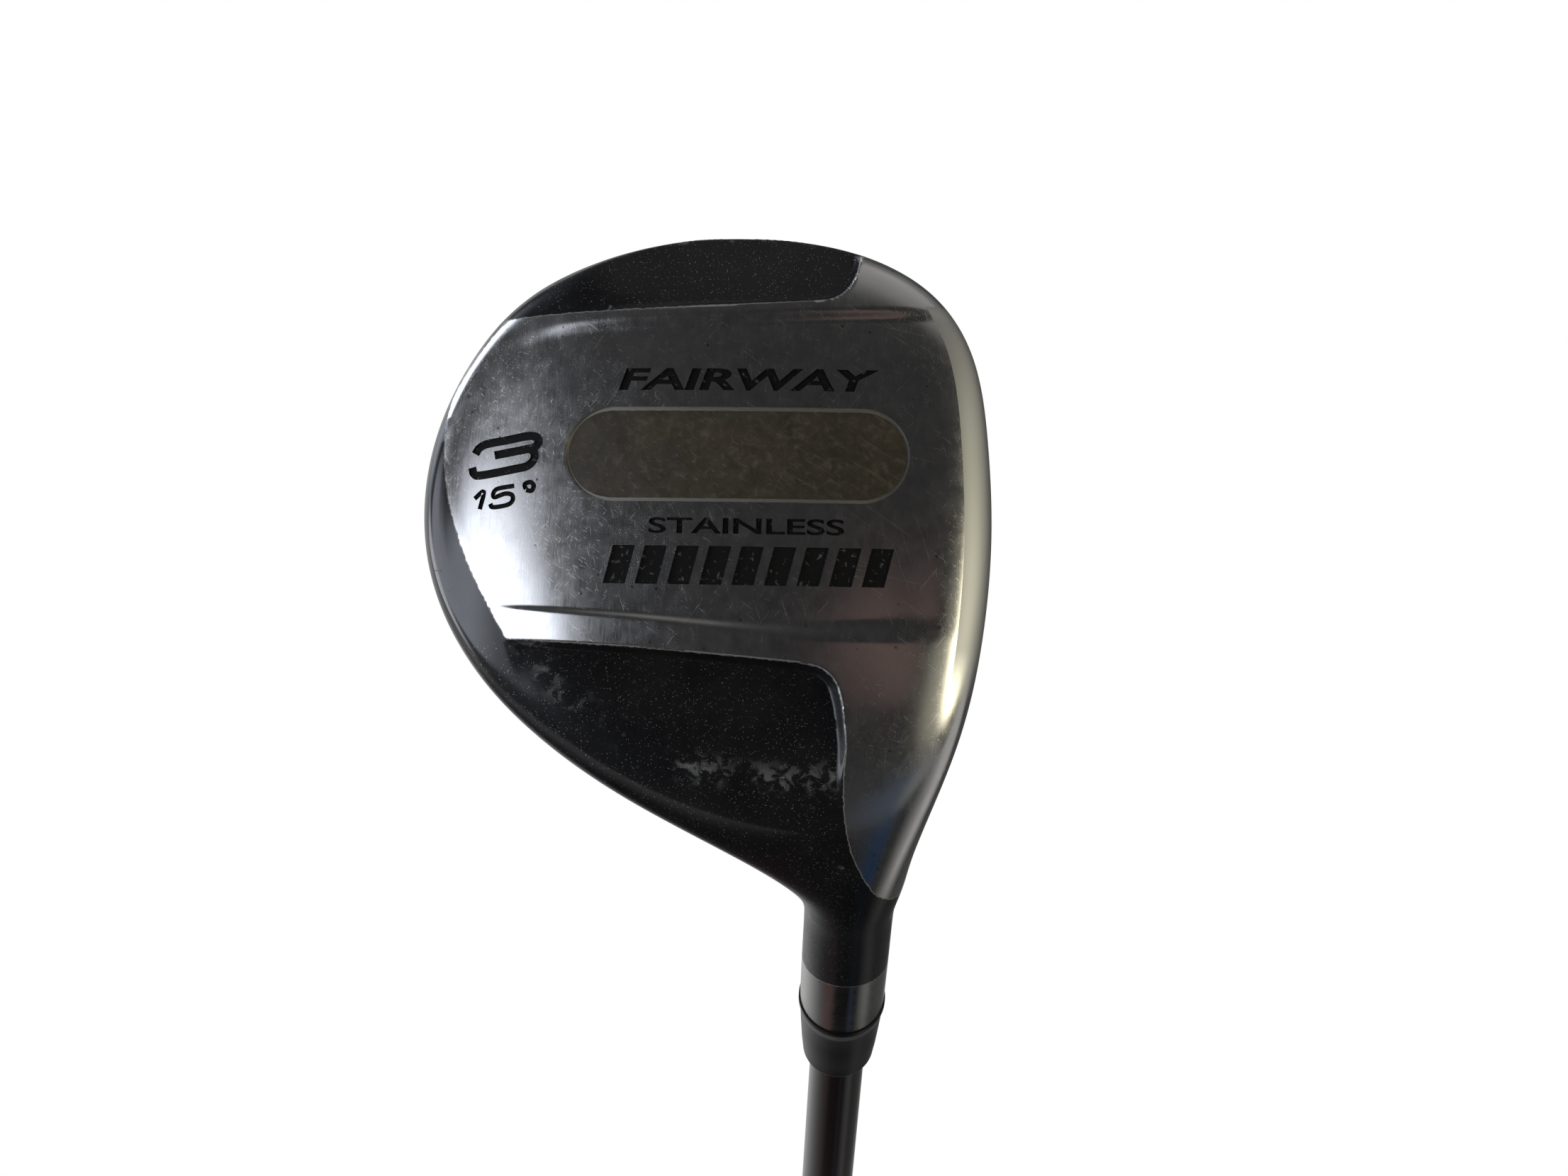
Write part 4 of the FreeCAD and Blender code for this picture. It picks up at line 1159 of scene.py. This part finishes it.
def headFinish(name):
    look = Look(name)
    look.shader.inputs["Specular IOR Level"].default_value = paint["gloss"]
    under = look.field("paint")
    ragged = look.math("MULTIPLY", look.math("SUBTRACT", look.noise(1.6, 4.0), 0.5), 0.5)
    under = look.math("ADD", under, ragged)
    bare = look.ramp(under, inset + 0.05, inset - 0.05)
    color, rough, height = steelParts(look)
    paintColor, paintRough, paintHeight, scuff, flake = paintParts(look)
    blast = look.ramp(look.field("blasted"), inset - 0.1, inset + 0.1)
    grain = look.noise(9.0, 2.0)
    color = look.mix(blast, color, steel["blasted"])
    rough = look.mixValue(blast, rough, 0.5)
    # a thin lighter line where the paint ends: partly wear, partly a painted highlight on the paint's edge
    fromEdge = look.math("ABSOLUTE", look.math("SUBTRACT", under, inset + 0.06))
    edgeWearAndHighlight = look.ramp(fromEdge, 0.12, 0.03, 0.0, 0.8)
    height = look.math("ADD", look.math("MULTIPLY", height, bare), look.math("MULTIPLY", blast, grain))
    height = look.math("ADD", height, look.math("MULTIPLY", look.math("SUBTRACT", 1.0, bare), paintHeight))
    metal = look.math("MAXIMUM", bare, look.math("MULTIPLY", flake, 0.7))
    covered = look.math("SUBTRACT", 1.0, bare)
    clear = look.math("MULTIPLY", covered, look.math("SUBTRACT", 1.0, scuff))
    clear = look.math("MULTIPLY", clear, look.ramp(look.field("skirt"), 0.0, 1.0, 0.3, 1.0))
    mixed = look.mix(bare, paintColor, color)
    # lays the thin lighter line on the paint's edge: partly wear, partly a painted highlight
    mixed = look.mix(look.math("MULTIPLY", edgeWearAndHighlight, covered), mixed, steel["wornEdgeAndHighlight"])
    return look.finish(Base_Color=mixed, Roughness=look.mixValue(bare, paintRough, rough), Metallic=metal,
                       Coat_Weight=clear, Normal=look.bump(height, 0.000008, 0.22))


def fillFinish(name):
    # black paint in the engraving, flaking off its floor here and there
    look = Look(name, paint["fill"], 0.6)
    look.shader.inputs["Specular IOR Level"].default_value = paint["gloss"]
    flaked = look.ramp(look.noise(1.3, 4.0, distortion=0.6), 0.62, 0.68)
    color = look.mix(look.math("MULTIPLY", flaked, 0.4), paint["fill"], paint["bared"])
    return look.finish(Base_Color=color, Normal=look.bump(look.noise(3.0, 3.0), 0.00002, 0.6))


def filmFinish(name):
    look = Look(name, adhesive["color"], 0.35, coat=0.2, coatRough=0.25)
    cloudy = look.noise(0.13, 4.0, distortion=1.2)
    fine = look.noise(0.9, 5.0, distortion=0.8)
    color = look.mix(look.ramp(cloudy, 0.35, 0.65), adhesive["dark"], adhesive["light"])
    color = look.mix(look.ramp(fine, 0.55, 0.75, 0.0, 0.35), color, adhesive["speck"])
    scrape = look.streaks(33, 0.05, 7.0, 0.66, 0.73)
    color = look.mix(look.math("MULTIPLY", scrape, 0.5), color, adhesive["scrape"])
    return look.finish(Base_Color=color, Roughness=look.ramp(fine, 0.3, 0.7, 0.32, 0.55),
                       Normal=look.bump(look.math("ADD", fine, cloudy), 0.00005, 0.5))


def seatFinish(name):
    look = Look(name, (0.35, 0.33, 0.29), 0.4, 0.9)
    return look.finish(Normal=look.bump(look.noise(2.5, 4.0), 0.00003, 0.5))


def simpleFinish(name, color, rough, metal=0.0, coat=0.0, grain=0.0, scale=600.0, coatRough=0.05, change=0.2):
    # one even finish with a little change in its colour and a fine grain
    look = Look(name, color, rough, metal, coat, coatRough)
    dark = tuple(c * (1 - change) for c in color)
    spread = look.node("Group", {"Vector": look.node("TexCoord").outputs["Object"], "Scale": scale,
                                 "Dark": (*dark, 1), "Light": (*color, 1), "Strength": grain},
                       node_tree=groups["fineGrain"])
    return look.finish(Base_Color=spread.outputs["Color"], Normal=spread.outputs["Normal"])


looks = {
    "steelAndPaint": headFinish("steelAndPaint"),
    "engravingFill": fillFinish("engravingFill"),
    "badgeSeat": seatFinish("badgeSeat"),
    "agedAdhesive": filmFinish("agedAdhesive"),
    "shaftGloss": simpleFinish("shaftGloss", (0.008, 0.004, 0.003), 0.22, 0.0, 0.4, 0.05, 300.0),
    "ferruleBlack": simpleFinish("ferruleBlack", (0.002, 0.002, 0.002), 0.30, 0.0, 0.0, 0.08, 900.0, 0.12),
    "gripRubber": simpleFinish("gripRubber", (0.018, 0.018, 0.018), 0.62, 0.0, 0.0, 0.5, 1600.0),
    "capRubber": simpleFinish("capRubber", (0.020, 0.020, 0.021), 0.55, 0.0, 0.0, 0.4, 1600.0),
    "hotMelt": simpleFinish("hotMelt", (0.72, 0.60, 0.34), 0.35, 0.0, 0.2, 0.3, 300.0),
    "plugNylon": simpleFinish("plugNylon", (0.75, 0.74, 0.70), 0.45, 0.0, 0.0, 0.2, 500.0),
    "weightBrass": simpleFinish("weightBrass", (0.68, 0.50, 0.22), 0.3, 1.0, 0.0, 0.2, 700.0),
    "epoxyGlue": simpleFinish("epoxyGlue", (0.55, 0.46, 0.26), 0.3, 0.0, 0.3, 0.2, 500.0),
    "gripTape": simpleFinish("gripTape", (0.70, 0.66, 0.55), 0.7, 0.0, 0.0, 0.4, 900.0),
}

dressed = [
    (bodyCasting, "body_casting", "painted_casting", ["steelAndPaint"]),
    (solePlate, "sole_plate", "brushed_sole", ["steelAndPaint", "engravingFill", "badgeSeat"]),
    (facePlate, "face_plate", "blasted_face", ["steelAndPaint", "engravingFill"]),
    (badgeAdhesive, "badge_adhesive", "aged_adhesive", ["agedAdhesive"]),
    (shaft, "shaft", "shaft_gloss", ["shaftGloss"]),
    (ferrule, "ferrule", "ferrule_black", ["ferruleBlack"]),
    (grip, "grip", "grip_rubber", ["gripRubber"]),
    (gripCap, "grip_cap", "cap_rubber", ["capRubber"]),
]
for piece, node, slotName, names in dressed:
    while len(piece.data.materials) < len(names):
        piece.data.materials.append(None)
    for k, name in enumerate(names):
        piece.data.materials[k] = looks[name]
    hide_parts(node)
    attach(piece, "root")

hidden = {"hot_melt_patch": ("hotMelt", "hot_melt"), "hosel_plug": ("plugNylon", "plug_nylon"),
          "tip_weight": ("weightBrass", "weight_brass"), "shaft_epoxy": ("epoxyGlue", "epoxy"),
          "grip_tape": ("gripTape", "tape")}
for node, (name, slotName) in hidden.items():
    piece = bpy.data.objects[node]
    piece.data.materials.clear()
    piece.data.materials.append(looks[name])


def floorFinish():
    # pale to the camera, dim to what it lights, so that the club keeps its dark reflections
    look = Look("paleFloor", (0.03, 0.03, 0.03), 0.9)
    away = look.node("SeparateXYZ", {"Vector": look.node("TexCoord").outputs["Object"]})
    lit = look.ramp(away.outputs["Y"], -0.35, 0.3, 0.006, 0.55)
    lit = look.math("MULTIPLY", lit, look.ramp(away.outputs["X"], 0.35, 0.0, 0.10, 1.0))
    lit = look.math("ADD", lit, look.ramp(away.outputs["X"], -1.0, -3.0, 0.0, 0.8))
    lit = look.math("ADD", lit, look.ramp(away.outputs["X"], 0.12, 0.6, 0.0, 0.03))
    # towards the camera: dark straight ahead, then a thin blue band, then bright to the right
    toCamera = look.math("MAXIMUM", look.math("MULTIPLY", away.outputs["Y"], -1.0), 0.05)
    lean = look.math("DIVIDE", away.outputs["X"], toCamera)
    close = look.ramp(away.outputs["Y"], -0.1, -0.6)
    lit = look.math("ADD", lit, look.math("MULTIPLY", look.ramp(lean, 0.7, 1.7, 0.0, 0.5), close))
    cool = look.ramp(look.math("ABSOLUTE", look.math("SUBTRACT", lean, 0.38)), 0.15, 0.06)
    cool = look.math("MULTIPLY", cool, close)
    lit = look.math("ADD", lit, look.math("MULTIPLY", cool, 0.06))
    warm = look.ramp(look.math("ABSOLUTE", look.math("ADD", away.outputs["X"], 0.36)), 0.18, 0.06, 0.0, 0.09)
    warm = look.math("MULTIPLY", warm, look.ramp(away.outputs["Y"], -0.2, -0.4))
    dim = look.mix(look.math("MULTIPLY", warm, 9.0), (1.0, 1.0, 1.0), (1.0, 0.4, 0.33))
    dim = look.mix(cool, dim, (0.16, 0.42, 1.0))
    glimpse = look.node("Emission", {"Color": dim, "Strength": look.math("ADD", lit, warm)})
    glow = look.node("Emission", {"Color": (1.0, 1.0, 1.0, 1), "Strength": 1.0})
    share = look.node("LightPath").outputs["Is Camera Ray"]
    both = look.node("MixShader", {0: share, 1: glimpse.outputs[0], 2: glow.outputs[0]})
    look.links.new(both.outputs[0], look.nodes["Material Output"].inputs["Surface"])
    return look.material


floor.data.materials.append(floorFinish())
